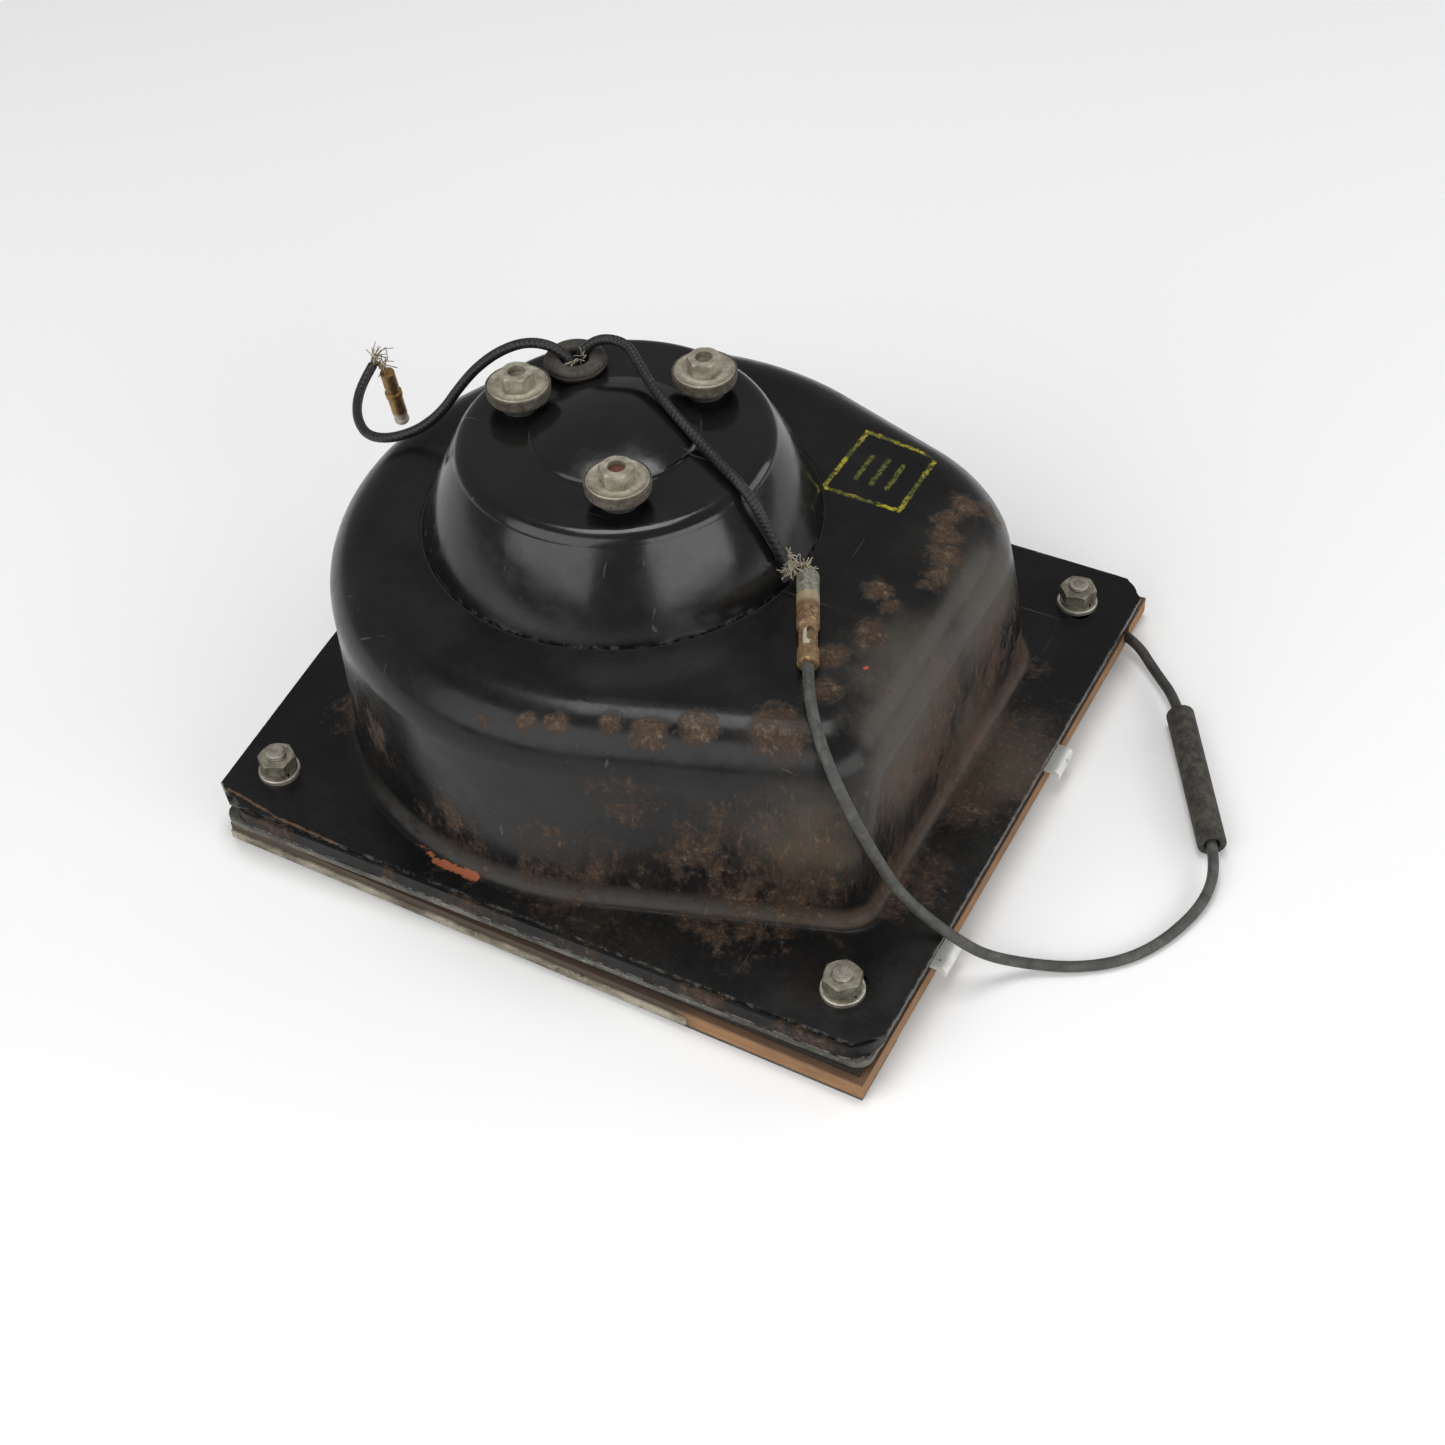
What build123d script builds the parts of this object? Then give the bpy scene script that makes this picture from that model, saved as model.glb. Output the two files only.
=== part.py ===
from build123d import *
import math
import os

os.makedirs("parts", exist_ok=True)

# ---------------------------------------------------------------- driving dimensions (mm)
# stack of the base, measured up from the surface it stands on
sheet_top = 1.6
batten_top = 7.2
felt_top = 9.0
frame_top = 11.0
pan_top = 16.0
flange_top = 17.0
gauge = 1.0

# drum of the housing
drum_height = 64.6
foot_radius = 4.4
crown_radius = 15.6
crown_start = drum_height - crown_radius
main_centre = (-12.5, -1.9)
main_radius = 89.6
front_centre = (79.6, -57.1)
front_radius = 8.8
front_swell = 13.2
back_centre = (70.7, 46.9)
back_radius = 17.2
back_swell = 49.1
housing_top = flange_top + drum_height
cap_opening = 58.4

# motor axis and everything turned about it
axis_x = -16.4
axis_y = -2.3
shoulder_top = 110.6
dome_top = 115.6
mount_circle = 30.3
mount_angles = (181.7, 61.7, -58.3)
mount_points = [
    (
        axis_x + mount_circle * math.cos(math.radians(angle)),
        axis_y + mount_circle * math.sin(math.radians(angle)),
    )
    for angle in mount_angles
]
grommet_x = -41.3
grommet_y = 18.8

# corner fasteners (M6)
corner_points = [(-92.4, -84.1), (93.1, -85.9), (92.8, 84.0), (-92.8, 84.0)]
slot_turns = (0, 58, -58, 0)
slot_runs = (0.4, 4.4, 4.4, 0.4)
stud_radius = 3.0

# motor
case_radius = 25.5
case_wall = 1.2
case_bottom = 52.0
case_top = 104.0
plate_top = 106.5
shaft_radius = 3.0

# impeller
wheel_radius = 68.0
blade_inner = 56.0
blade_count = 32
disc_bottom = 44.0
disc_top = 46.0
ring_bottom = 20.0
ring_top = 22.0

# cables
braid_radius = 1.5
wire_radius = 1.6
sleeve_radius = 4.25

spin_axis = Axis((axis_x, axis_y, 0), (0, 0, 1))


def turning_plane(x, y):
    """Upright plane through a vertical axis: local x is the radius, local y is the height."""
    return Plane(origin=(x, y, 0), x_dir=(1, 0, 0), z_dir=(0, -1, 0))


def drum_outline(height, grow):
    """Plan outline of the drum at a height above the flange, grown outwards by grow."""
    rise = max(height - foot_radius, 0.0) / (drum_height - foot_radius)
    swell = rise**1.47
    circles = [
        (main_centre[0], main_centre[1], main_radius + grow),
        (
            front_centre[0] - 0.8 * front_swell * swell,
            front_centre[1] + 0.6 * front_swell * swell,
            front_radius + grow + 0.81 * front_swell * swell,
        ),
        (
            back_centre[0] - 0.8 * back_swell * swell,
            back_centre[1] - 0.6 * back_swell * swell,
            back_radius + grow + 0.81 * back_swell * swell,
        ),
    ]
    normals = []
    for index in range(3):
        x0, y0, r0 = circles[index]
        x1, y1, r1 = circles[(index + 1) % 3]
        span = math.hypot(x1 - x0, y1 - y0)
        normals.append(math.atan2(y1 - y0, x1 - x0) - math.acos((r0 - r1) / span))
    with BuildSketch(Plane.XY.offset(flange_top + height)) as outline:
        with BuildLine():
            for index in range(3):
                x0, y0, r0 = circles[index]
                x1, y1, r1 = circles[(index + 1) % 3]
                here = normals[index]
                after = normals[(index + 1) % 3]
                half = 0.5 * ((after - here) % (2 * math.pi))
                start = (x0 + r0 * math.cos(here), y0 + r0 * math.sin(here))
                end = (x1 + r1 * math.cos(here), y1 + r1 * math.sin(here))
                middle = (x1 + r1 * math.cos(here + half), y1 + r1 * math.sin(here + half))
                last = (x1 + r1 * math.cos(after), y1 + r1 * math.sin(after))
                Line(start, end)
                ThreePointArc(end, middle, last)
        make_face()
    return outline.sketch


def drum_sections(inset):
    """Outlines for the foot, the wall and the crown of the drum, inset by a thickness."""
    foot_r = foot_radius + inset
    crown_r = crown_radius - inset
    foot = [
        drum_outline(
            foot_radius - foot_r * math.cos(math.radians(turn)),
            foot_radius - foot_r * math.sin(math.radians(turn)),
        )
        for turn in (0, 22.5, 45, 67.5, 90)
    ]
    wall = [drum_outline(height, -inset) for height in (foot_radius, 15, 26, 37.5, crown_start)]
    crown = [
        drum_outline(
            crown_start + crown_r * math.sin(math.radians(turn)),
            -inset - crown_r * (1 - math.cos(math.radians(turn))),
        )
        for turn in (0, 18, 36, 54, 72, 90)
    ]
    return foot, wall, crown


def cord_radii(points):
    """Bend radius at each inner corner: 0.45 of the shorter run over the tangent of half the turn."""
    radii = []
    for before, corner, after in zip(points, points[1:], points[2:]):
        first = Vector(*corner) - Vector(*before)
        second = Vector(*after) - Vector(*corner)
        turn = math.radians(first.get_angle(second))
        radii.append(0.45 * min(first.length, second.length) / math.tan(turn / 2))
    return radii


# ---------------------------------------------------------------- housing
outer_foot, outer_wall, outer_crown = drum_sections(0.0)
inner_foot, inner_wall, inner_crown = drum_sections(gauge)

with BuildPart() as drum_cavity:
    loft(inner_foot)
    loft(inner_wall)
    loft(inner_crown)

with BuildPart() as blower_housing:
    with BuildSketch(Plane.XY.offset(flange_top - gauge)):
        with BuildLine():
            Line((-98.6, -101.2), (103.0, -101.2))
            Line((103.0, -101.2), (110.0, -94.2))
            Line((110.0, -94.2), (110.0, 94.2))
            Line((110.0, 94.2), (103.0, 101.2))
            Line((103.0, 101.2), (-98.6, 101.2))
            Line((-98.6, 101.2), (-105.6, 95.8))
            Line((-105.6, 95.8), (-110.79, 39.6))
            ThreePointArc((-110.79, 39.6), (-112.6, 0), (-110.79, -39.6))
            Line((-110.79, -39.6), (-105.6, -95.8))
            Line((-105.6, -95.8), (-98.6, -101.2))
        make_face()
    extrude(amount=gauge)
    loft(outer_foot)
    loft(outer_wall)
    loft(outer_crown)
    add(drum_cavity.part, mode=Mode.SUBTRACT)
    with BuildSketch(Plane.XY.offset(housing_top - 3)):
        with Locations((axis_x, axis_y)):
            Circle(cap_opening)
    extrude(amount=6, mode=Mode.SUBTRACT)
    with BuildSketch(Plane.XY.offset(flange_top - 2)):
        for (slot_x, slot_y), turn, run in zip(corner_points, slot_turns, slot_runs):
            with Locations(Location((slot_x, slot_y, 0), (0, 0, turn))):
                with Locations((run / 2, 0)):
                    SlotCenterToCenter(run, 6.6)
    extrude(amount=4, mode=Mode.SUBTRACT)
blower_housing.part.label = "blower_housing"
export_step(blower_housing.part, "parts/blower_housing.step")

# ---------------------------------------------------------------- motor cap
dome_radius = 74.0
dome_edge = 23.4
dome_turn = math.degrees(math.asin(dome_edge / dome_radius))
dome_outer_rim = (dome_edge, dome_top - dome_radius * (1 - math.cos(math.radians(dome_turn))))
dome_inner_rim = (
    dome_edge * (dome_radius - gauge) / dome_radius,
    dome_top - dome_radius + (dome_radius - gauge) * math.cos(math.radians(dome_turn)),
)
with BuildPart() as motor_cap:
    with BuildSketch(turning_plane(axis_x, axis_y)):
        with BuildLine():
            Line((62.0, 79.6), (62.0, 80.6))
            Line((62.0, 80.6), (57.6, 80.6))
            Line((57.6, 80.6), (57.2, 82.6))
            ThreePointArc((57.2, 82.6), (52.1, 95.3), (45.8, 107.3))
            ThreePointArc((45.8, 107.3), (44.0, 109.7), (41.0, 110.6))
            Line((41.0, 110.6), (24.6, 110.6))
            ThreePointArc((24.6, 110.6), (23.9, 111.0), dome_outer_rim)
            CenterArc((0, dome_top - dome_radius), dome_radius, 90 - dome_turn, dome_turn)
            Line((0, dome_top), (0, dome_top - gauge))
            CenterArc((0, dome_top - dome_radius), dome_radius - gauge, 90 - dome_turn, dome_turn)
            ThreePointArc(dome_inner_rim, (23.4, 110.1), (24.4, 109.6))
            Line((24.4, 109.6), (40.8, 109.6))
            ThreePointArc((40.8, 109.6), (43.3, 108.9), (44.9, 106.9))
            ThreePointArc((44.9, 106.9), (51.1, 94.9), (56.2, 82.3))
            Line((56.2, 82.3), (56.7, 79.6))
            Line((56.7, 79.6), (62.0, 79.6))
        make_face()
    revolve(axis=spin_axis)
    with BuildSketch(Plane.XY.offset(105)):
        with Locations(*mount_points):
            Circle(4.0)
        with Locations((grommet_x, grommet_y)):
            Circle(7.0)
    extrude(amount=8, mode=Mode.SUBTRACT)
motor_cap.part.label = "motor_cap"
export_step(motor_cap.part, "parts/motor_cap.step")

with BuildPart() as cap_seal:
    with BuildSketch(Plane.XY.offset(housing_top - gauge)):
        with Locations((axis_x, axis_y)):
            Circle(cap_opening)
            Circle(57.65, mode=Mode.SUBTRACT)
    extrude(amount=0.7)
cap_seal.part.label = "cap_seal"
export_step(cap_seal.part, "parts/cap_seal.step")

# ---------------------------------------------------------------- base stack
pan_left = -100.5
pan_right = 108.8
pan_half = 102.4
pan_mid = 0.5 * (pan_left + pan_right)
pan_width = pan_right - pan_left
window_mid = 72.0

with BuildPart() as base_pan:
    with BuildSketch(Plane.XY.offset(frame_top)):
        with Locations((pan_mid, 0)):
            RectangleRounded(pan_width, 2 * pan_half, 9.6)
    extrude(amount=pan_top - frame_top)
    with BuildSketch(Plane.XY.offset(frame_top)):
        with Locations((pan_mid, 0)):
            RectangleRounded(pan_width - 2 * gauge, 2 * pan_half - 2 * gauge, 8.6)
    extrude(amount=pan_top - gauge - frame_top, mode=Mode.SUBTRACT)
    with BuildSketch(Plane.XY.offset(frame_top)):
        with Locations((axis_x, axis_y)):
            Circle(50.0)
        with Locations((window_mid, 0)):
            RectangleRounded(28, 80, 4)
        with Locations(*corner_points):
            Circle(3.3)
    extrude(amount=8, mode=Mode.SUBTRACT)
    with BuildSketch(Plane.XY.offset(frame_top)):
        with Locations((axis_x, axis_y)):
            Circle(50.0)
    extrude(amount=8, mode=Mode.SUBTRACT)
base_pan.part.label = "base_pan"
export_step(base_pan.part, "parts/base_pan.step")

with BuildPart() as backing_frame:
    with BuildSketch(Plane.XY.offset(felt_top)):
        with Locations((3.2, 0)):
            RectangleRounded(209.4, 205.2, 5)
        with Locations((-22.0, 0)):
            Rectangle(116, 164, mode=Mode.SUBTRACT)
        with Locations((68.0, 0)):
            Rectangle(32, 164, mode=Mode.SUBTRACT)
        with Locations(*corner_points):
            Circle(3.3, mode=Mode.SUBTRACT)
    extrude(amount=frame_top - felt_top)
backing_frame.part.label = "backing_frame"
export_step(backing_frame.part, "parts/backing_frame.step")

with BuildPart() as felt_gasket:
    with BuildSketch(Plane.XY.offset(batten_top)):
        with BuildLine():
            Polyline((-98.5, -99.0), (106.3, -103.4), (106.3, 103.4), (-98.5, 99.0), close=True)
        make_face()
        with Locations((-22.0, 0)):
            Rectangle(120, 168, mode=Mode.SUBTRACT)
        with Locations((68.0, 0)):
            Rectangle(32, 168, mode=Mode.SUBTRACT)
        with Locations(*corner_points):
            Circle(5.8, mode=Mode.SUBTRACT)
    extrude(amount=felt_top - batten_top)
felt_gasket.part.label = "felt_gasket"
export_step(felt_gasket.part, "parts/felt_gasket.step")

front_left = (-100.5, -101.0)
front_right = (108.3, -105.6)
back_right = (108.3, 105.6)
back_left = (-100.5, 101.0)
inner_left = -82.0
inner_right = 84.0
inner_half = 84.0

with BuildPart() as front_batten:
    with BuildSketch(Plane.XY.offset(sheet_top)):
        with BuildLine():
            Polyline(
                front_left,
                front_right,
                (inner_right, -inner_half),
                (inner_left, -inner_half),
                close=True,
            )
        make_face()
    extrude(amount=batten_top - sheet_top)
front_batten.part.label = "front_batten"
export_step(front_batten.part, "parts/front_batten.step")

with BuildPart() as back_batten:
    with BuildSketch(Plane.XY.offset(sheet_top)):
        with BuildLine():
            Polyline(
                back_right,
                back_left,
                (inner_left, inner_half),
                (inner_right, inner_half),
                close=True,
            )
        make_face()
    extrude(amount=batten_top - sheet_top)
back_batten.part.label = "back_batten"
export_step(back_batten.part, "parts/back_batten.step")

with BuildPart() as left_batten:
    with BuildSketch(Plane.XY.offset(sheet_top)):
        with BuildLine():
            Polyline(
                back_left,
                front_left,
                (inner_left, -inner_half),
                (inner_left, inner_half),
                close=True,
            )
        make_face()
    extrude(amount=batten_top - sheet_top)
left_batten.part.label = "left_batten"
export_step(left_batten.part, "parts/left_batten.step")

return_entry = Vector(111.0, 88.2, 5.5)
return_end = Vector(101.0, 90.4, 5.5)
return_way = (return_end - return_entry).normalized()
notch_plane = Plane(origin=(return_end.X, return_end.Y, 3.6), x_dir=return_way, z_dir=(0, 0, 1))

with BuildPart() as right_batten:
    with BuildSketch(Plane.XY.offset(sheet_top)):
        with BuildLine():
            Polyline(
                front_right,
                back_right,
                (inner_right, inner_half),
                (inner_right, -inner_half),
                close=True,
            )
        make_face()
    extrude(amount=batten_top - sheet_top)
    with BuildSketch(notch_plane):
        with Locations((-3.5, 0)):
            Rectangle(17, 4.0)
    extrude(amount=5, mode=Mode.SUBTRACT)
right_batten.part.label = "right_batten"
export_step(right_batten.part, "parts/right_batten.step")

with BuildPart() as divider_batten:
    with BuildSketch(Plane.XY.offset(sheet_top)):
        with Locations((45.0, 0)):
            Rectangle(14, 2 * inner_half)
    extrude(amount=batten_top - sheet_top)
divider_batten.part.label = "divider_batten"
export_step(divider_batten.part, "parts/divider_batten.step")

strip_plane = Plane(
    origin=(front_left[0], front_left[1], sheet_top),
    x_dir=(208.8, -4.6, 0),
    z_dir=(-4.6, -208.8, 0),
)
with BuildPart() as edge_strip:
    with BuildSketch(strip_plane):
        with Locations((77.0, 1.5)):
            Rectangle(154.0, 2.8)
        with Locations((154.0, 1.5)):
            Circle(1.4)
    extrude(amount=0.6)
edge_strip.part.label = "edge_strip"
export_step(edge_strip.part, "parts/edge_strip.step")

with BuildPart() as base_sheet:
    with BuildSketch(Plane.XY):
        with BuildLine():
            Polyline(
                (-100.2, -100.6),
                (108.0, -105.2),
                (108.0, -83.0),
                (107.4, -83.0),
                (107.4, 105.2),
                (-100.2, 100.6),
                close=True,
            )
        make_face()
        with Locations((axis_x, axis_y)):
            Circle(46.0, mode=Mode.SUBTRACT)
        with Locations((window_mid - 4, 0)):
            RectangleRounded(28, 80, 4, mode=Mode.SUBTRACT)
    extrude(amount=sheet_top)
base_sheet.part.label = "base_sheet"
export_step(base_sheet.part, "parts/base_sheet.step")

clip_spots = ((-55.8, 11.3), (26.6, 11.0))
with BuildPart() as frame_clips:
    for clip_y, clip_width in clip_spots:
        with BuildSketch(Plane(origin=(0, clip_y, 0), x_dir=(1, 0, 0), z_dir=(0, -1, 0))):
            with BuildLine():
                Line((106.7, batten_top), (106.7, 8.6))
                Line((106.7, 8.6), (111.0, 8.6))
                ThreePointArc((111.0, 8.6), (112.2, 8.1), (112.7, 6.9))
                Line((112.7, 6.9), (112.7, 5.4))
                Line((112.7, 5.4), (111.5, 5.4))
                Line((111.5, 5.4), (111.5, 6.5))
                ThreePointArc((111.5, 6.5), (111.3, 7.0), (110.8, batten_top))
                Line((110.8, batten_top), (106.7, batten_top))
            make_face()
        extrude(amount=clip_width / 2, both=True)
frame_clips.part.label = "frame_clips"
export_step(frame_clips.part, "parts/frame_clips.step")

# ---------------------------------------------------------------- corner fasteners
washer_top = flange_top + 1.4
spring_top = washer_top + 1.2
nut_height = 4.0
stud_tops = (25.7, 24.6, 25.2, 25.4)
nut_turns = (25, 42, 12, 33)

with BuildPart() as corner_studs:
    for (stud_x, stud_y), stud_top in zip(corner_points, stud_tops):
        with BuildSketch(Plane.XY.offset(batten_top + 0.3)):
            with Locations((stud_x, stud_y)):
                Circle(5.5)
        extrude(amount=felt_top - batten_top - 0.3)
        with BuildSketch(Plane.XY.offset(felt_top)):
            with Locations((stud_x, stud_y)):
                Circle(stud_radius)
        extrude(amount=stud_top - felt_top)
    chamfer(corner_studs.edges().filter_by(GeomType.CIRCLE).filter_by_position(Axis.Z, 24.3, 28), 0.5)
corner_studs.part.label = "corner_studs"
export_step(corner_studs.part, "parts/corner_studs.step")

with BuildPart() as corner_washers:
    with BuildSketch(Plane.XY.offset(flange_top)):
        with Locations(*corner_points):
            Circle(6.25)
            Circle(3.25, mode=Mode.SUBTRACT)
    extrude(amount=washer_top - flange_top)
    chamfer(corner_washers.faces().sort_by(Axis.Z)[-4:].edges().sort_by(SortBy.RADIUS)[-4:], 0.25)
corner_washers.part.label = "corner_washers"
export_step(corner_washers.part, "parts/corner_washers.step")

with BuildPart() as corner_spring_washers:
    with BuildSketch(Plane.XY.offset(washer_top)):
        with Locations(*corner_points):
            Circle(5.4)
            Circle(3.2, mode=Mode.SUBTRACT)
        with Locations(*[(x + 4.2, y - 1.6) for x, y in corner_points]):
            Rectangle(4.4, 0.7, rotation=-35, mode=Mode.SUBTRACT)
    extrude(amount=spring_top - washer_top)
corner_spring_washers.part.label = "corner_spring_washers"
export_step(corner_spring_washers.part, "parts/corner_spring_washers.step")

with BuildPart() as nut_cone:
    for nut_x, nut_y in corner_points:
        with BuildSketch(turning_plane(nut_x, nut_y)):
            Polygon((0, 0), (5.0, 0), (6.6, 0.9), (6.6, 3.1), (5.0, 4.0), (0, 4.0), align=None)
        revolve(axis=Axis((nut_x, nut_y, 0), (0, 0, 1)))

with BuildPart() as corner_nuts:
    with BuildSketch(Plane.XY.offset(spring_top)):
        for nut_place, nut_turn in zip(corner_points, nut_turns):
            with Locations(nut_place):
                RegularPolygon(5.0, 6, major_radius=False, rotation=nut_turn)
                Circle(stud_radius, mode=Mode.SUBTRACT)
    extrude(amount=nut_height)
    add(nut_cone.part.moved(Location((0, 0, spring_top))), mode=Mode.INTERSECT)
corner_nuts.part.label = "corner_nuts"
export_step(corner_nuts.part, "parts/corner_nuts.step")

# ---------------------------------------------------------------- motor mounts on the cap
with BuildPart() as lower_bushes:
    with BuildSketch(Plane.XY.offset(plate_top)):
        with Locations(*mount_points):
            Circle(7.5)
            Circle(2.6, mode=Mode.SUBTRACT)
    extrude(amount=shoulder_top - gauge - plate_top)
lower_bushes.part.label = "lower_bushes"
export_step(lower_bushes.part, "parts/lower_bushes.step")

with BuildPart() as mount_spacers:
    for pad_x, pad_y in mount_points:
        with BuildSketch(turning_plane(pad_x, pad_y)):
            with BuildLine():
                Line((2.6, shoulder_top), (5.6, shoulder_top))
                ThreePointArc((5.6, shoulder_top), (5.3, 112.1), (5.6, 113.6))
                Line((5.6, 113.6), (2.6, 113.6))
                Line((2.6, 113.6), (2.6, shoulder_top))
            make_face()
        revolve(axis=Axis((pad_x, pad_y, 0), (0, 0, 1)))
mount_spacers.part.label = "mount_spacers"
export_step(mount_spacers.part, "parts/mount_spacers.step")

with BuildPart() as rim_bushes:
    for pad_x, pad_y in mount_points:
        with BuildSketch(turning_plane(pad_x, pad_y)):
            with BuildLine():
                Line((2.6, 113.6), (7.6, 113.6))
                ThreePointArc((7.6, 113.6), (8.8, 114.5), (9.2, 116.0))
                Line((9.2, 116.0), (9.3, 118.0))
                Line((9.3, 118.0), (8.9, 118.1))
                Line((8.9, 118.1), (8.8, 117.2))
                Line((8.8, 117.2), (2.6, 117.2))
                Line((2.6, 117.2), (2.6, 113.6))
            make_face()
        revolve(axis=Axis((pad_x, pad_y, 0), (0, 0, 1)))
rim_bushes.part.label = "rim_bushes"
export_step(rim_bushes.part, "parts/rim_bushes.step")

with BuildPart() as mount_washers:
    for pad_x, pad_y in mount_points:
        with BuildSketch(turning_plane(pad_x, pad_y)):
            with BuildLine():
                Line((2.6, 117.2), (8.7, 117.2))
                Line((8.7, 117.2), (8.75, 118.1))
                Line((8.75, 118.1), (8.4, 118.4))
                ThreePointArc((8.4, 118.4), (7.2, 118.0), (5.6, 118.2))
                Line((5.6, 118.2), (2.6, 118.2))
                Line((2.6, 118.2), (2.6, 117.2))
            make_face()
        revolve(axis=Axis((pad_x, pad_y, 0), (0, 0, 1)))
mount_washers.part.label = "mount_washers"
export_step(mount_washers.part, "parts/mount_washers.step")

with BuildPart() as small_nut_cone:
    for nut_x, nut_y in mount_points:
        with BuildSketch(turning_plane(nut_x, nut_y)):
            Polygon((0, 0), (5.2, 0), (5.2, 3.6), (4.5, 4.2), (0, 4.2), align=None)
        revolve(axis=Axis((nut_x, nut_y, 0), (0, 0, 1)))

with BuildPart() as mount_nuts:
    with BuildSketch(Plane.XY.offset(118.2)):
        with Locations(*mount_points):
            RegularPolygon(4.4, 6, major_radius=False, rotation=20)
            Circle(2.5, mode=Mode.SUBTRACT)
    extrude(amount=4.2)
    add(small_nut_cone.part.moved(Location((0, 0, 118.2))), mode=Mode.INTERSECT)
mount_nuts.part.label = "mount_nuts"
export_step(mount_nuts.part, "parts/mount_nuts.step")

with BuildPart() as motor_studs:
    with BuildSketch(Plane.XY.offset(case_top - 2.4)):
        with Locations(*mount_points):
            RegularPolygon(3.9, 6, major_radius=True)
    extrude(amount=2.4)
    with BuildSketch(Plane.XY.offset(case_top)):
        with Locations(*mount_points):
            Circle(2.5)
    extrude(amount=120.8 - case_top)
motor_studs.part.label = "motor_studs"
export_step(motor_studs.part, "parts/motor_studs.step")

with BuildPart() as cable_grommet:
    with BuildSketch(turning_plane(grommet_x, grommet_y)):
        with BuildLine():
            Line((4.0, 108.4), (4.6, 107.6))
            Line((4.6, 107.6), (7.9, 107.6))
            Line((7.9, 107.6), (7.9, 109.6))
            Line((7.9, 109.6), (7.0, 109.6))
            Line((7.0, 109.6), (7.0, 110.6))
            Line((7.0, 110.6), (7.8, 110.6))
            Line((7.8, 110.6), (9.1, 112.3))
            ThreePointArc((9.1, 112.3), (9.2, 112.6), (8.95, 112.9))
            ThreePointArc((8.95, 112.9), (8.7, 114.1), (7.2, 114.7))
            Line((7.2, 114.7), (5.6, 114.7))
            ThreePointArc((5.6, 114.7), (4.45, 114.25), (4.0, 113.1))
            Line((4.0, 113.1), (4.0, 108.4))
        make_face()
    revolve(axis=Axis((grommet_x, grommet_y, 0), (0, 0, 1)))
cable_grommet.part.label = "cable_grommet"
export_step(cable_grommet.part, "parts/cable_grommet.step")

# ---------------------------------------------------------------- motor
with BuildPart() as motor_case:
    with BuildSketch(Plane.XY.offset(case_bottom)):
        with Locations((axis_x, axis_y)):
            Circle(case_radius)
    extrude(amount=case_top - case_bottom)
    fillet(motor_case.faces().sort_by(Axis.Z)[0].edges(), 3.0)
    with BuildSketch(Plane.XY.offset(case_bottom + case_wall)):
        with Locations((axis_x, axis_y)):
            Circle(case_radius - case_wall)
    extrude(amount=case_top - case_bottom, mode=Mode.SUBTRACT)
    with BuildSketch(Plane.XY.offset(case_bottom)):
        with Locations((axis_x, axis_y)):
            Circle(5.0)
            with PolarLocations(16.0, 4):
                Circle(3.0)
    extrude(amount=2, mode=Mode.SUBTRACT)
motor_case.part.label = "motor_case"
export_step(motor_case.part, "parts/motor_case.step")

with BuildPart() as motor_end_plate:
    with BuildSketch(Plane.XY.offset(case_top)):
        with Locations((axis_x, axis_y)):
            Circle(case_radius)
        with Locations(*mount_points):
            Circle(6.6)
        with Locations((axis_x, axis_y)):
            Circle(5.0, mode=Mode.SUBTRACT)
        with Locations(*mount_points):
            Circle(2.5, mode=Mode.SUBTRACT)
    extrude(amount=plate_top - case_top)
motor_end_plate.part.label = "motor_end_plate"
export_step(motor_end_plate.part, "parts/motor_end_plate.step")

with BuildPart() as field_magnets:
    with BuildSketch(Plane.XY.offset(60.0)):
        with Locations((axis_x, axis_y)):
            Circle(case_radius - case_wall)
            Circle(18.4, mode=Mode.SUBTRACT)
            Rectangle(13, 60, mode=Mode.SUBTRACT)
    extrude(amount=34.0)
field_magnets.part.label = "field_magnets"
export_step(field_magnets.part, "parts/field_magnets.step")

with BuildPart() as upper_bearing:
    with BuildSketch(Plane.XY.offset(case_top)):
        with Locations((axis_x, axis_y)):
            Circle(5.0)
            Circle(shaft_radius + 0.05, mode=Mode.SUBTRACT)
    extrude(amount=3.6)
upper_bearing.part.label = "upper_bearing"
export_step(upper_bearing.part, "parts/upper_bearing.step")

with BuildPart() as lower_bearing:
    with BuildSketch(Plane.XY.offset(case_bottom - 0.6)):
        with Locations((axis_x, axis_y)):
            Circle(5.0)
            Circle(shaft_radius + 0.05, mode=Mode.SUBTRACT)
    extrude(amount=4.6)
lower_bearing.part.label = "lower_bearing"
export_step(lower_bearing.part, "parts/lower_bearing.step")

with BuildPart() as brush_holder:
    with BuildSketch(Plane.XY.offset(96.8)):
        with Locations((axis_x, axis_y)):
            Circle(case_radius - case_wall)
            Circle(10.0, mode=Mode.SUBTRACT)
    extrude(amount=1.6)
    with BuildSketch(Plane.XY.offset(98.4)):
        with Locations((axis_x - 18.6, axis_y), (axis_x + 18.6, axis_y)):
            Rectangle(2.0, 7.0)
    extrude(amount=4.0)
brush_holder.part.label = "brush_holder"
export_step(brush_holder.part, "parts/brush_holder.step")

with BuildPart() as brushes:
    with BuildSketch(Plane.XY.offset(98.4)):
        with Locations((axis_x - 11.0, axis_y), (axis_x + 11.0, axis_y)):
            Rectangle(5.0, 4.4)
    extrude(amount=3.6)
brushes.part.label = "brushes"
export_step(brushes.part, "parts/brushes.step")

with BuildPart() as brush_springs:
    for side in (-1, 1):
        with BuildLine() as coil_path:
            Helix(
                pitch=0.9,
                height=3.3,
                radius=1.2,
                center=(axis_x + side * 13.9, axis_y, 100.2),
                direction=(side, 0, 0),
            )
        with BuildSketch(Plane(origin=coil_path.line @ 0, z_dir=coil_path.line % 0)):
            Circle(0.22)
        sweep(path=coil_path.line, is_frenet=True)
brush_springs.part.label = "brush_springs"
export_step(brush_springs.part, "parts/brush_springs.step")

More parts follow.
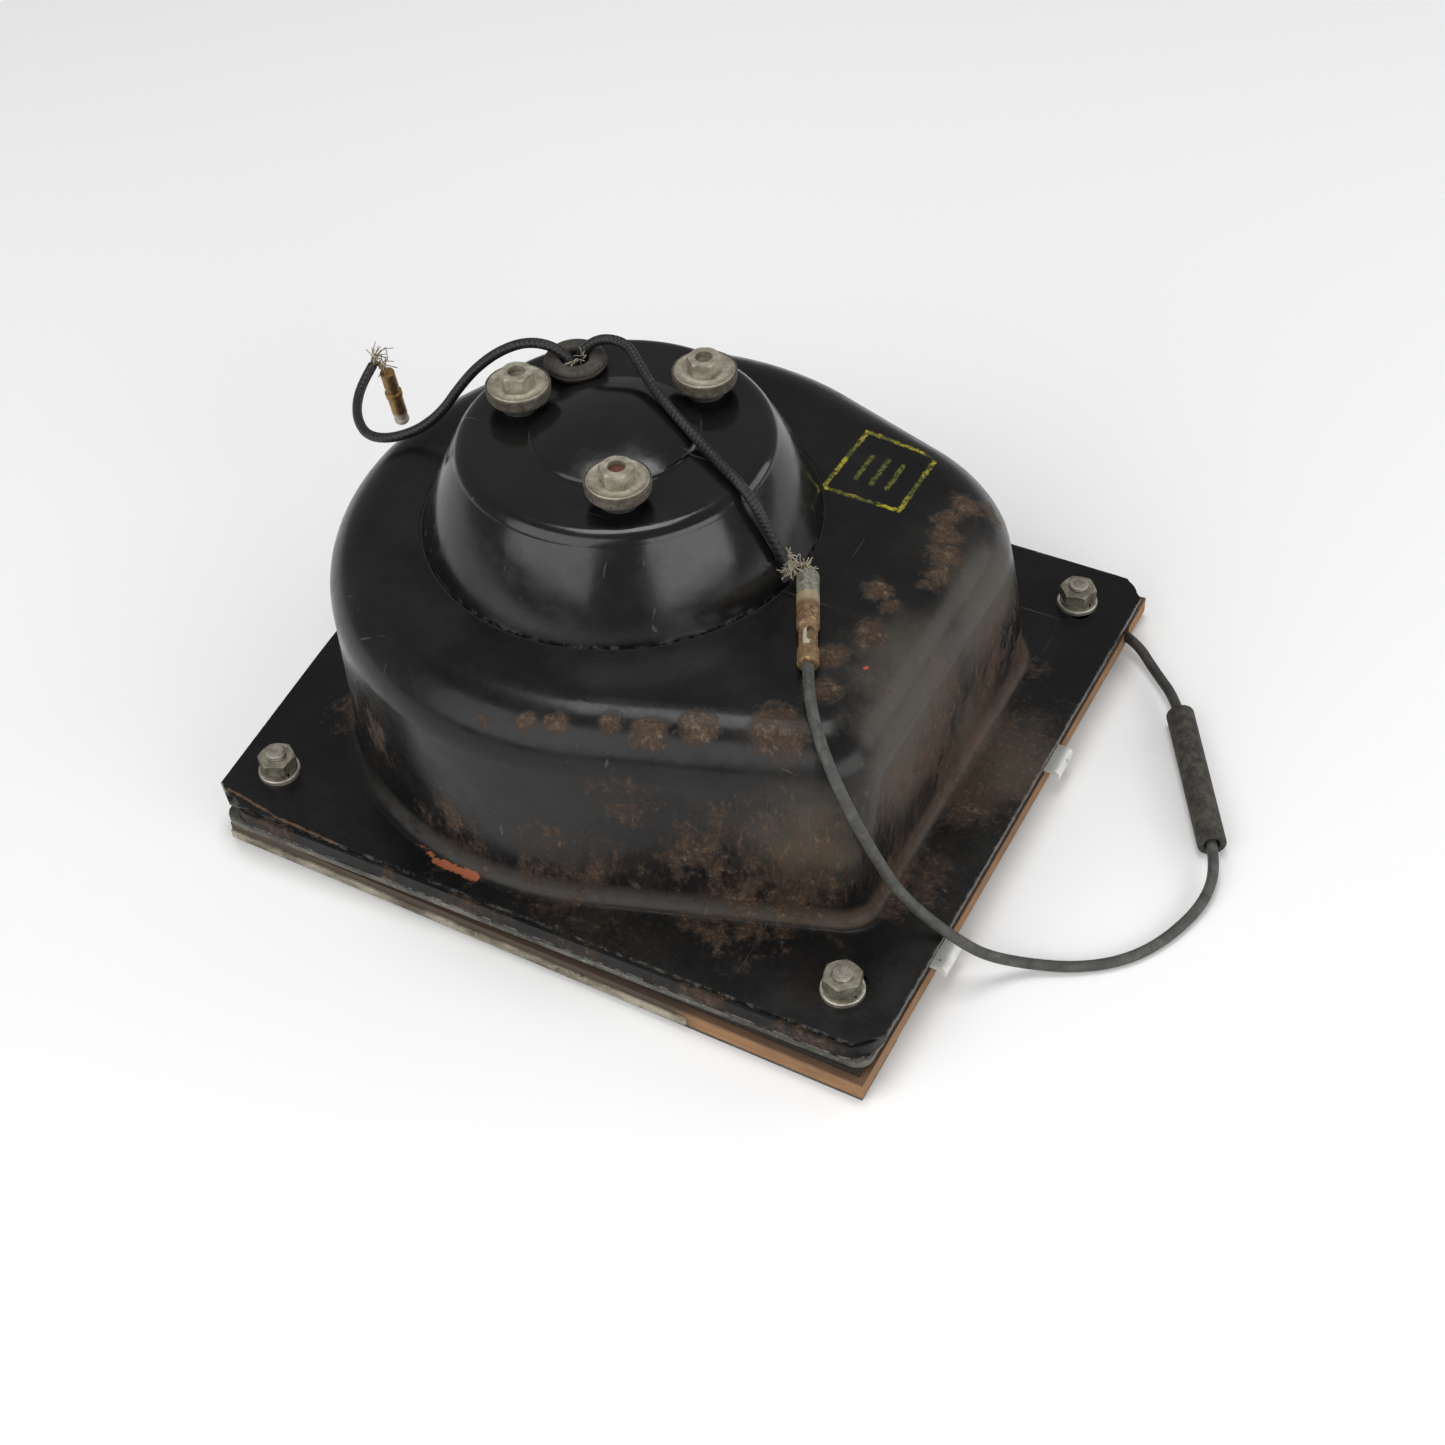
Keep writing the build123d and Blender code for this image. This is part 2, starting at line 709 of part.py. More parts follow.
left_terminal = (-39.5, 17.4)
right_terminal = (-42.4, 19.9)

with BuildPart() as terminal_block:
    with BuildSketch(Plane(origin=(axis_x, axis_y, 94.0), x_dir=(-0.766, 0.643, 0), z_dir=(0, 0, 1))):
        with Locations((31.0, 0)):
            Rectangle(12.4, 10.0)
        Circle(case_radius, mode=Mode.SUBTRACT)
    extrude(amount=5.4)
    fillet(terminal_block.edges().filter_by(Axis.Z).sort_by(Axis.X)[:2], 1.5)
terminal_block.part.label = "terminal_block"
export_step(terminal_block.part, "parts/terminal_block.step")

with BuildPart() as terminals:
    with BuildSketch(Plane.XY.offset(99.4)):
        with Locations(left_terminal, right_terminal):
            Circle(1.6)
    extrude(amount=3.4)
terminals.part.label = "terminals"
export_step(terminals.part, "parts/terminals.step")

# ---------------------------------------------------------------- rotor
with BuildPart() as motor_shaft:
    with BuildSketch(Plane.XY.offset(29.0)):
        with Locations((axis_x, axis_y)):
            Circle(shaft_radius)
    extrude(amount=79.2)
    chamfer(motor_shaft.edges().filter_by(GeomType.CIRCLE), 0.4)
    with BuildSketch(Plane.XY.offset(32.0)):
        with Locations((axis_x, axis_y)):
            Circle(shaft_radius + 1)
            Circle(shaft_radius - 0.4, mode=Mode.SUBTRACT)
    extrude(amount=0.8, mode=Mode.SUBTRACT)
motor_shaft.part.label = "motor_shaft"
export_step(motor_shaft.part, "parts/motor_shaft.step")

with BuildPart() as armature_core:
    with BuildSketch(Plane.XY.offset(64.0)):
        with Locations((axis_x, axis_y)):
            Circle(17.6)
            Circle(shaft_radius, mode=Mode.SUBTRACT)
            with PolarLocations(13.4, 12):
                Circle(2.3, mode=Mode.SUBTRACT)
            with PolarLocations(16.4, 12):
                Rectangle(4.0, 1.2, mode=Mode.SUBTRACT)
    extrude(amount=24.0)
armature_core.part.label = "armature_core"
export_step(armature_core.part, "parts/armature_core.step")

with BuildPart() as armature_windings:
    with BuildSketch(Plane.XY.offset(64.0)):
        with Locations((axis_x, axis_y)):
            with PolarLocations(13.4, 12):
                Circle(2.1)
    extrude(amount=24.0)
    for coil_bottom in (60.0, 88.0):
        with BuildSketch(Plane.XY.offset(coil_bottom)):
            with Locations((axis_x, axis_y)):
                Circle(16.0)
                Circle(6.0, mode=Mode.SUBTRACT)
        extrude(amount=4.0)
armature_windings.part.label = "armature_windings"
export_step(armature_windings.part, "parts/armature_windings.step")

with BuildPart() as commutator:
    with BuildSketch(Plane.XY.offset(94.0)):
        with Locations((axis_x, axis_y)):
            Circle(8.2)
            Circle(shaft_radius, mode=Mode.SUBTRACT)
            with PolarLocations(8.0, 12):
                Rectangle(1.6, 0.5, mode=Mode.SUBTRACT)
    extrude(amount=9.0)
commutator.part.label = "commutator"
export_step(commutator.part, "parts/commutator.step")

with BuildPart() as impeller_hub:
    with BuildSketch(Plane.XY.offset(34.0)):
        with Locations((axis_x, axis_y)):
            Circle(9.0)
    extrude(amount=disc_bottom - 34.0)
    with BuildSketch(Plane.XY.offset(disc_bottom)):
        with Locations((axis_x, axis_y)):
            Circle(7.0)
    extrude(amount=5.6)
    with BuildSketch(Plane.XY.offset(34.0)):
        with Locations((axis_x, axis_y)):
            Circle(shaft_radius)
    extrude(amount=20, mode=Mode.SUBTRACT)
    with BuildSketch(Plane(origin=(axis_x, axis_y, 39.0), x_dir=(0, 1, 0), z_dir=(1, 0, 0))):
        Circle(2.0)
    extrude(amount=12, mode=Mode.SUBTRACT)
impeller_hub.part.label = "impeller_hub"
export_step(impeller_hub.part, "parts/impeller_hub.step")

with BuildPart() as impeller_disc:
    with BuildSketch(Plane.XY.offset(disc_bottom)):
        with Locations((axis_x, axis_y)):
            Circle(wheel_radius)
            Circle(7.0, mode=Mode.SUBTRACT)
    extrude(amount=disc_top - disc_bottom)
impeller_disc.part.label = "impeller_disc"
export_step(impeller_disc.part, "parts/impeller_disc.step")

with BuildPart() as impeller_blades:
    with BuildSketch(Plane.XY.offset(ring_top)):
        with Locations((axis_x, axis_y)):
            with PolarLocations(0.5 * (blade_inner + wheel_radius), blade_count):
                Rectangle(11.0, 1.0, rotation=28)
    extrude(amount=disc_bottom - ring_top)
impeller_blades.part.label = "impeller_blades"
export_step(impeller_blades.part, "parts/impeller_blades.step")

with BuildPart() as impeller_ring:
    with BuildSketch(Plane.XY.offset(ring_bottom)):
        with Locations((axis_x, axis_y)):
            Circle(wheel_radius)
            Circle(blade_inner, mode=Mode.SUBTRACT)
    extrude(amount=ring_top - ring_bottom)
impeller_ring.part.label = "impeller_ring"
export_step(impeller_ring.part, "parts/impeller_ring.step")

with BuildPart() as hub_screw:
    with BuildSketch(Plane(origin=(axis_x + 3.0, axis_y, 39.0), x_dir=(0, 1, 0), z_dir=(1, 0, 0))):
        Circle(2.0)
    extrude(amount=5.4)
    with BuildSketch(Plane(origin=(axis_x + 7.4, axis_y, 39.0), x_dir=(0, 1, 0), z_dir=(1, 0, 0))):
        RegularPolygon(1.1, 6)
    extrude(amount=2.0, mode=Mode.SUBTRACT)
hub_screw.part.label = "hub_screw"
export_step(hub_screw.part, "parts/hub_screw.step")

with BuildPart() as hub_circlip:
    with BuildSketch(Plane.XY.offset(32.0)):
        with Locations((axis_x, axis_y)):
            Circle(5.0)
            Circle(shaft_radius - 0.4, mode=Mode.SUBTRACT)
        with Locations((axis_x + 4.5, axis_y)):
            Rectangle(6.0, 3.4, mode=Mode.SUBTRACT)
    extrude(amount=0.8)
hub_circlip.part.label = "hub_circlip"
export_step(hub_circlip.part, "parts/hub_circlip.step")

with BuildPart() as inlet_ring:
    with BuildSketch(turning_plane(axis_x, axis_y)):
        with BuildLine():
            Line((56.0, 14.0), (56.0, 15.0))
            Line((56.0, 15.0), (50.0, 15.0))
            Line((50.0, 15.0), (49.4, 17.0))
            Line((49.4, 17.0), (49.4, 19.6))
            Line((49.4, 19.6), (48.4, 19.6))
            Line((48.4, 19.6), (48.4, 16.6))
            ThreePointArc((48.4, 16.6), (48.8, 14.9), (50.2, 14.0))
            Line((50.2, 14.0), (56.0, 14.0))
        make_face()
    revolve(axis=spin_axis)
inlet_ring.part.label = "inlet_ring"
export_step(inlet_ring.part, "parts/inlet_ring.step")

# ---------------------------------------------------------------- left lead and its bullet
left_points = [
    (-39.5, 17.4, 102.8),
    (-39.5, 17.4, 111.4),
    (-45.7, 16.8, 117.5),
    (-54.8, 16.4, 117.2),
    (-63.2, 14.2, 113.2),
    (-70.4, 11.2, 107.0),
    (-76.0, 8.2, 99.6),
    (-80.6, 5.2, 92.0),
    (-86.6, 1.2, 86.0),
    (-94.6, -3.6, 83.0),
    (-103.6, -3.4, 80.8),
    (-111.0, 2.0, 80.2),
    (-116.9, 9.8, 79.6),
    (-120.6, 18.7, 80.2),
    (-121.3, 25.9, 81.8),
]
left_radii = cord_radii(left_points)
print("left_lead bend radii", [round(value, 1) for value in left_radii])

with BuildPart() as left_lead:
    with BuildLine() as left_path:
        FilletPolyline(*left_points, radius=left_radii)
    with BuildSketch(Plane(origin=left_points[0], z_dir=left_path.line % 0)):
        Circle(braid_radius)
    sweep(path=left_path.line)
left_lead.part.label = "left_lead"
export_step(left_lead.part, "parts/left_lead.step")

bullet_top = Vector(-118.0, 28.1, 78.6)
bullet_tip = Vector(-118.0, 31.8, 56.2)
bullet_way = (bullet_tip - bullet_top).normalized()
bullet_side = Vector(1, 0, 0).cross(bullet_way).normalized()
bullet_plane = Plane(origin=bullet_top, x_dir=bullet_side, z_dir=bullet_side.cross(bullet_way))
left_exit = Vector(*left_points[-1])
left_heading = (left_exit - Vector(*left_points[-2])).normalized()

with BuildPart() as left_bullet:
    with BuildSketch(bullet_plane):
        with BuildLine():
            Polyline(
                (0, 0),
                (2.3, 0),
                (2.3, 6.0),
                (2.0, 6.4),
                (2.0, 8.0),
                (2.7, 8.4),
                (2.7, 10.0),
                (2.35, 10.4),
                (2.35, 18.2),
                (1.8, 18.8),
                (1.8, 19.6),
                (2.35, 20.2),
            )
            ThreePointArc((2.35, 20.2), (2.1, 21.4), (1.0, 22.1))
            Line((1.0, 22.1), (0, 22.1))
            Line((0, 22.1), (0, 0))
        make_face()
    revolve(axis=Axis(bullet_top, bullet_way))
    with BuildLine() as bullet_tail:
        Spline(
            left_exit,
            bullet_top + bullet_way * 1.0,
            tangents=[left_heading * 2.4, bullet_way * 2.4],
        )
    with BuildSketch(Plane(origin=left_exit, z_dir=left_heading)):
        Circle(0.8)
    sweep(path=bullet_tail.line)
left_bullet.part.label = "left_bullet"
export_step(left_bullet.part, "parts/left_bullet.step")

# ---------------------------------------------------------------- right lead and its socket
right_points = [
    (-42.4, 19.9, 102.8),
    (-42.4, 19.9, 112.2),
    (-36.8, 24.2, 118.7),
    (-27.6, 25.2, 119.2),
    (-20.4, 19.4, 117.4),
    (-11.4, 12.0, 116.6),
    (-1.4, 5.6, 115.6),
    (8.4, 0.6, 113.4),
    (18.4, -5.6, 113.0),
    (27.0, -10.5, 112.9),
    (32.9, -12.0, 107.5),
    (36.4, -11.5, 98.4),
    (39.9, -10.8, 90.4),
]
right_radii = cord_radii(right_points)
print("right_lead bend radii", [round(value, 1) for value in right_radii])

with BuildPart() as right_lead:
    with BuildLine() as right_path:
        FilletPolyline(*right_points, radius=right_radii)
    with BuildSketch(Plane(origin=right_points[0], z_dir=right_path.line % 0)):
        Circle(braid_radius)
    sweep(path=right_path.line)
right_lead.part.label = "right_lead"
export_step(right_lead.part, "parts/right_lead.step")

socket_top = Vector(45.7, -8.1, 84.9)
socket_end = Vector(61.5, -40.1, 84.9)
socket_way = (socket_end - socket_top).normalized()
socket_side = Vector(0, 0, 1).cross(socket_way).normalized()
socket_turn = Plane(origin=socket_top, x_dir=socket_side, z_dir=socket_side.cross(socket_way))
socket_length = (socket_end - socket_top).length
right_exit = Vector(*right_points[-1])
right_heading = (right_exit - Vector(*right_points[-2])).normalized()

with BuildPart() as bullet_socket:
    with BuildSketch(socket_turn):
        with BuildLine():
            Polyline(
                (0, 0),
                (2.7, 0),
                (3.2, 0.6),
                (3.2, 5.4),
                (2.8, 5.9),
                (2.8, 6.5),
                (3.2, 7.0),
                (3.2, 21.0),
                (2.6, 21.8),
                (2.6, 29.6),
                (3.0, 30.2),
                (3.0, 35.0),
                (2.6, socket_length),
                (0, socket_length),
                close=True,
            )
        make_face()
    revolve(axis=Axis(socket_top, socket_way))
    with BuildSketch(Plane(origin=socket_top + Vector(0, 0, 1.4), x_dir=socket_way, z_dir=(0, 0, 1))):
        with Locations((25.6, 0.6)):
            SlotCenterToCenter(3.4, 2.0)
    extrude(amount=3, mode=Mode.SUBTRACT)
    with BuildLine() as socket_tail:
        Spline(
            right_exit,
            (42.0, -6.6, 85.6),
            (44.9, -5.6, 84.9),
            socket_top + socket_way * 0.6,
            tangents=[right_heading, socket_way],
        )
    with BuildSketch(Plane(origin=right_exit, z_dir=right_heading)):
        Circle(0.9)
    sweep(path=socket_tail.line)
bullet_socket.part.label = "bullet_socket"
export_step(bullet_socket.part, "parts/bullet_socket.step")

# ---------------------------------------------------------------- grey wire, sleeve and return wire
sleeve_start = Vector(161.7, 17.2, 4.3)
sleeve_stop = Vector(135.2, 63.6, 4.3)
sleeve_way = (sleeve_stop - sleeve_start).normalized()
sleeve_length = (sleeve_stop - sleeve_start).length
splice_start = sleeve_start + sleeve_way * 6.0
splice_stop = sleeve_start + sleeve_way * 45.4
sleeve_entry = sleeve_start - sleeve_way * 7.0
sleeve_leave = sleeve_start + sleeve_way * 59.3

bridge_points = [
    (61.5, -40.1, 84.9),
    (66.6, -50.43, 84.9),
    (76.0, -62.6, 82.0),
    (84.6, -68.0, 72.0),
    (89.2, -65.6, 57.4),
    (91.8, -61.2, 43.5),
    (96.8, -58.8, 31.0),
    (105.0, -57.2, 22.0),
    (114.6, -57.0, 17.2),
    (120.8, -52.6, 9.4),
    (130.6, -45.4, 3.0),
    (143.4, -39.6, 1.7),
    (154.6, -31.0, 1.7),
    (162.0, -18.6, 1.7),
    (166.8, -2.5, 2.4),
    (sleeve_entry.X, sleeve_entry.Y, sleeve_entry.Z),
    (splice_start.X, splice_start.Y, splice_start.Z),
]
bridge_radii = cord_radii(bridge_points)
print("bridge_wire bend radii", [round(value, 1) for value in bridge_radii])

with BuildPart() as bridge_wire:
    with BuildLine() as bridge_path:
        FilletPolyline(*bridge_points, radius=bridge_radii)
    with BuildSketch(Plane(origin=bridge_points[0], z_dir=bridge_path.line % 0)):
        Circle(wire_radius)
    sweep(path=bridge_path.line)
bridge_wire.part.label = "bridge_wire"
export_step(bridge_wire.part, "parts/bridge_wire.step")

with BuildPart() as rubber_sleeve:
    with BuildSketch(Plane(origin=sleeve_start, z_dir=sleeve_way)):
        Circle(sleeve_radius)
        Circle(2.3, mode=Mode.SUBTRACT)
    extrude(amount=sleeve_length)
    fillet(rubber_sleeve.edges().filter_by(GeomType.CIRCLE), 0.4)
rubber_sleeve.part.label = "rubber_sleeve"
export_step(rubber_sleeve.part, "parts/rubber_sleeve.step")

with BuildPart() as wire_splice:
    with BuildSketch(Plane(origin=splice_start, z_dir=sleeve_way)):
        Circle(1.95)
    extrude(amount=(splice_stop - splice_start).length)
wire_splice.part.label = "wire_splice"
export_step(wire_splice.part, "parts/wire_splice.step")

return_points = [
    (splice_stop.X, splice_stop.Y, splice_stop.Z),
    (sleeve_leave.X, sleeve_leave.Y, sleeve_leave.Z),
    (121.6, 78.8, 3.6),
    (return_entry.X, return_entry.Y, return_entry.Z),
    (return_end.X, return_end.Y, return_end.Z),
]
return_radii = cord_radii(return_points)
print("return_wire bend radii", [round(value, 1) for value in return_radii])

with BuildPart() as return_wire:
    with BuildLine() as return_path:
        FilletPolyline(*return_points, radius=return_radii)
    with BuildSketch(Plane(origin=return_points[0], z_dir=return_path.line % 0)):
        Circle(wire_radius)
    sweep(path=return_path.line)
return_wire.part.label = "return_wire"
export_step(return_wire.part, "parts/return_wire.step")

with BuildPart() as return_lug:
    with BuildSketch(notch_plane):
        with Locations((2.4, 0)):
            Rectangle(4.8, 3.4)
    extrude(amount=3.5)
return_lug.part.label = "return_lug"
export_step(return_lug.part, "parts/return_lug.step")
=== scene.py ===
"""Looks, cables and studio for the blower unit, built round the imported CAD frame."""

import math
import random

import bpy
from mathutils import Matrix, Vector


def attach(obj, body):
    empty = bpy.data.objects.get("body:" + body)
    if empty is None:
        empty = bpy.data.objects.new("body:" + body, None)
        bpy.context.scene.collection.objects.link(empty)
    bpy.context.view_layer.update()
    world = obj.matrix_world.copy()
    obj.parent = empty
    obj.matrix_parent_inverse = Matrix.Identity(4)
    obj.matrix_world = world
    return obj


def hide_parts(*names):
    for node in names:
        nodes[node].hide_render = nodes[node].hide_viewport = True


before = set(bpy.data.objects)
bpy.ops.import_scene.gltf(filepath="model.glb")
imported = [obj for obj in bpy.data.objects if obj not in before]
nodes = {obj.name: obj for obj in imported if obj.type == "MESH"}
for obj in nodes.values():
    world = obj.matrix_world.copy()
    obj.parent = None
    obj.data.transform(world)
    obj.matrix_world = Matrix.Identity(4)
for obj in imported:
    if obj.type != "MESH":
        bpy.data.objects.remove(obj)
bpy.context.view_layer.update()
MM = 0.001
BODY = "housing"

# ------------------------------------------------------------------ camera
CAMERA_AT = Vector((265.2, -439.2, 514.7)) * MM
LOOK_AT = Vector((17.0, -10.1, 17.0)) * MM
CAMERA_ROLL = math.radians(-3.375)
LENS_MM = 58.48

forward = (LOOK_AT - CAMERA_AT).normalized()
level_right = forward.cross(Vector((0, 0, 1))).normalized()
level_up = level_right.cross(forward)
right = level_right * math.cos(CAMERA_ROLL) + level_up * math.sin(CAMERA_ROLL)
up = right.cross(forward)
camera_data = bpy.data.cameras.new("camera")
camera_data.lens = LENS_MM
camera_data.sensor_width = 36
camera_data.clip_start = 0.01
camera = bpy.data.objects.new("camera", camera_data)
camera.matrix_world = Matrix.Translation(CAMERA_AT) @ Matrix((right, up, -forward)).transposed().to_4x4()
bpy.context.scene.collection.objects.link(camera)
bpy.context.scene.camera = camera


# ------------------------------------------------------------------ node materials
class Look:
    """A node material being built. Lengths given to it are in millimetres of the row frame."""

    def __init__(self, name):
        self.material = bpy.data.materials.new(name)
        self.material.use_nodes = True
        self.tree = self.material.node_tree
        self.tree.nodes.clear()
        self.shader = self.tree.nodes.new("ShaderNodeBsdfPrincipled")
        output = self.tree.nodes.new("ShaderNodeOutputMaterial")
        self.tree.links.new(self.shader.outputs[0], output.inputs[0])
        self.coordinates = self.tree.nodes.new("ShaderNodeTexCoord")
        self.mm = self.vector("SCALE", self.coordinates.outputs["Object"], scale=1000.0)
        parts = self.tree.nodes.new("ShaderNodeSeparateXYZ")
        self.put(self.mm, parts.inputs[0])
        self.x, self.y, self.z = parts.outputs

    def put(self, value, socket):
        """Link a node's output to a socket, or set the socket to a number or colour."""
        if isinstance(value, bpy.types.NodeSocket):
            self.tree.links.new(value, socket)
        elif isinstance(value, tuple) and len(value) == 3 and socket.type == "RGBA":
            socket.default_value = (*value, 1.0)
        else:
            socket.default_value = value

    def vector(self, operation, a, b=None, scale=None):
        node = self.tree.nodes.new("ShaderNodeVectorMath")
        node.operation = operation
        self.put(a, node.inputs[0])
        if b is not None:
            self.put(b, node.inputs[1])
        if scale is not None:
            self.put(scale, node.inputs["Scale"])
        return node.outputs["Value" if operation in ("DOT_PRODUCT", "LENGTH", "DISTANCE") else "Vector"]

    def math(self, operation, a, b=0.0, clamp=False):
        node = self.tree.nodes.new("ShaderNodeMath")
        node.operation = operation
        node.use_clamp = clamp
        self.put(a, node.inputs[0])
        self.put(b, node.inputs[1])
        return node.outputs[0]

    def step(self, value, low, high):
        """0 below low and 1 above high, eased between; low above high turns it round."""
        node = self.tree.nodes.new("ShaderNodeMapRange")
        node.interpolation_type = "SMOOTHSTEP"
        self.put(value, node.inputs["Value"])
        turned = low > high
        node.inputs["From Min"].default_value = min(low, high)
        node.inputs["From Max"].default_value = max(low, high)
        node.inputs["To Min"].default_value = 1.0 if turned else 0.0
        node.inputs["To Max"].default_value = 0.0 if turned else 1.0
        return node.outputs["Result"]

    def noise(self, size, detail=4.0, rough=0.55, stretch=None, shift=0.0, warp=0.0):
        """Noise whose features are about size millimetres across."""
        node = self.tree.nodes.new("ShaderNodeTexNoise")
        place = self.mm
        if stretch is not None:
            place = self.vector("MULTIPLY", place, tuple(1.0 / s for s in stretch))
        if shift:
            place = self.vector("ADD", place, (shift, 1.7 * shift, -shift))
        self.put(place, node.inputs["Vector"])
        node.inputs["Scale"].default_value = 1.0 / size
        node.inputs["Detail"].default_value = detail
        node.inputs["Roughness"].default_value = rough
        node.inputs["Distortion"].default_value = warp
        return node.outputs["Fac"]

    def cells(self, size):
        """Distance to the edge of cells about size millimetres across."""
        node = self.tree.nodes.new("ShaderNodeTexVoronoi")
        node.feature = "DISTANCE_TO_EDGE"
        self.put(self.mm, node.inputs["Vector"])
        node.inputs["Scale"].default_value = 1.0 / size
        return node.outputs["Distance"]

    def mix(self, share, a, b):
        """Colour a with a share of colour b."""
        node = self.tree.nodes.new("ShaderNodeMix")
        node.data_type = "RGBA"
        self.put(share, node.inputs[0])
        self.put(a, node.inputs[6])
        self.put(b, node.inputs[7])
        return node.outputs[2]

    def blend(self, share, a, b):
        """The same as mix, for plain numbers."""
        node = self.tree.nodes.new("ShaderNodeMix")
        self.put(share, node.inputs[0])
        self.put(a, node.inputs[2])
        self.put(b, node.inputs[3])
        return node.outputs[0]

    def fold(self, operation, values):
        result = values[0]
        for value in values[1:]:
            result = self.math(operation, result, value)
        return result

    def times(self, *values):
        return self.fold("MULTIPLY", values)

    def plus(self, *values):
        return self.fold("ADD", values)

    def most(self, *values):
        return self.fold("MAXIMUM", values)

    def centred(self, noise, reach):
        """A noise moved to lie about zero and made reach wide."""
        return self.times(self.math("SUBTRACT", noise, 0.5), reach)

    def near(self, centre, radius, soft=0.6):
        """1 at a point, falling to 0 at radius."""
        return self.step(self.vector("DISTANCE", self.mm, centre), radius, radius * (1 - soft))

    def spots(self, places):
        """The strongest of several soft spots, each (centre, radius, share)."""
        single = [self.times(self.near(centre, radius, 1.0), share) for centre, radius, share in places]
        return self.most(*single)

    def along(self, start, end, place=None):
        """Distance to the straight stretch from start to end."""
        place = place or self.mm
        stretch = Vector(end) - Vector(start)
        from_start = self.vector("SUBTRACT", place, tuple(start))
        inline = self.vector("DOT_PRODUCT", from_start, tuple(stretch))
        share = self.math("DIVIDE", inline, stretch.length_squared, clamp=True)
        reach = self.vector("SCALE", tuple(stretch), scale=share)
        return self.vector("LENGTH", self.vector("SUBTRACT", from_start, reach))

    def bump(self, height, depth, strength):
        """Bump from a height between 0 and 1, depth millimetres deep."""
        node = self.tree.nodes.new("ShaderNodeBump")
        node.inputs["Strength"].default_value = strength
        node.inputs["Distance"].default_value = depth * MM
        self.put(height, node.inputs["Height"])
        return node.outputs["Normal"]

    def done(self, colour, rough, normal, metal=0.0, **fixed):
        """Connect the shader and return the finished material."""
        self.put(colour, self.shader.inputs["Base Color"])
        self.put(rough, self.shader.inputs["Roughness"])
        self.put(metal, self.shader.inputs["Metallic"])
        self.put(normal, self.shader.inputs["Normal"])
        for name, value in fixed.items():
            self.shader.inputs[name.replace("_", " ")].default_value = value
        return self.material


# linear colours of the old enamel and what lies on it
BLACK = (0.0050, 0.0050, 0.0054)
DUST = (0.050, 0.045, 0.038)
SCRATCH = (0.16, 0.15, 0.14)
SPECK = (0.36, 0.34, 0.30)
HAZE = (0.062, 0.057, 0.047)
HAZE_BROWN = (0.082, 0.053, 0.032)
# grey of the foot band: dust with the fillet's highlight painted in
FOOT_GREY_HIGHLIGHT_DUST = (0.052, 0.048, 0.041)
FOOT_BROWN = (0.078, 0.054, 0.037)
RUST_DARK = (0.040, 0.026, 0.017)
RUST = (0.122, 0.069, 0.041)
RUST_PALE = (0.170, 0.130, 0.090)
FLECK = (0.20, 0.135, 0.080)
PRIMER = (0.34, 0.105, 0.045)
BARE = (0.34, 0.33, 0.30)
YELLOW = (0.50, 0.42, 0.030)
OLD_YELLOW = (0.105, 0.115, 0.018)

# heights on the housing, in millimetres
FLANGE_FACE = 17.2
FOOT_END = (24.5, 20.5)
LOW_WALL = (76.0, 50.0)
TOP_FACE = (80.8, 81.2)


def add_haze(look, colour, rough, fine, places):
    """Grey-brown film with streaks that run down the walls, small flecks, and a band round the foot, grey at
    the front as dust with a painted highlight and brown on the right.
    """
    region = look.spots(places)
    cloud = look.plus(region, look.centred(look.noise(15.0, 7.0, 0.7, shift=5.0), 1.1))
    haze = look.times(look.step(cloud, 0.20, 0.85), look.step(region, 0.0, 0.75))
    streaks = look.noise(2.6, 6.0, 0.72, stretch=(1.0, 1.0, 7.0), shift=12.0)
    brown_share = look.blend(look.step(look.z, 74.0, 50.0), 0.35, 1.0)
    film = look.mix(look.times(look.step(streaks, 0.38, 0.64), brown_share), HAZE, HAZE_BROWN)
    colour = look.mix(look.times(haze, 0.82), colour, film)
    rough = look.blend(haze, rough, 0.60)

    small = look.noise(1.2, 7.0, 0.85, stretch=(1.0, 1.0, 2.6), shift=52.0)
    groups = look.times(look.noise(9.0, 4.0, 0.7, shift=37.0), 0.42)
    flecks = look.step(look.plus(small, groups), 0.80, 0.92)
    wall_noise = look.noise(1.6, 7.0, 0.82, stretch=(1.0, 1.0, 3.4), shift=91.0)
    wall_flecks = look.times(look.step(wall_noise, 0.52, 0.66), look.step(look.z, *LOW_WALL), 0.8)
    flecks = look.most(flecks, wall_flecks)
    fleck_share = look.times(flecks, look.step(region, 0.0, 0.7), 0.72)
    colour = look.mix(fleck_share, colour, look.mix(fine, RUST, FLECK))
    rough = look.blend(look.times(flecks, region), rough, 0.65)

    # band on the foot fillet: grey at the front as dust with a painted highlight, rusty brown on the right
    # side
    foot = look.times(
        look.step(look.z, FLANGE_FACE, FLANGE_FACE + 0.8),
        look.step(look.z, *FOOT_END),
        look.step(look.x, -75.0, -40.0),
        look.step(look.noise(7.0, 6.0, 0.7, shift=83.0), 0.22, 0.52),
    )
    foot_highlight_and_rust = look.mix(look.step(look.x, 55.0, 88.0), FOOT_GREY_HIGHLIGHT_DUST, FOOT_BROWN)
    colour = look.mix(look.times(foot, 0.72), colour, foot_highlight_and_rust)
    return colour, look.blend(foot, rough, 0.62)


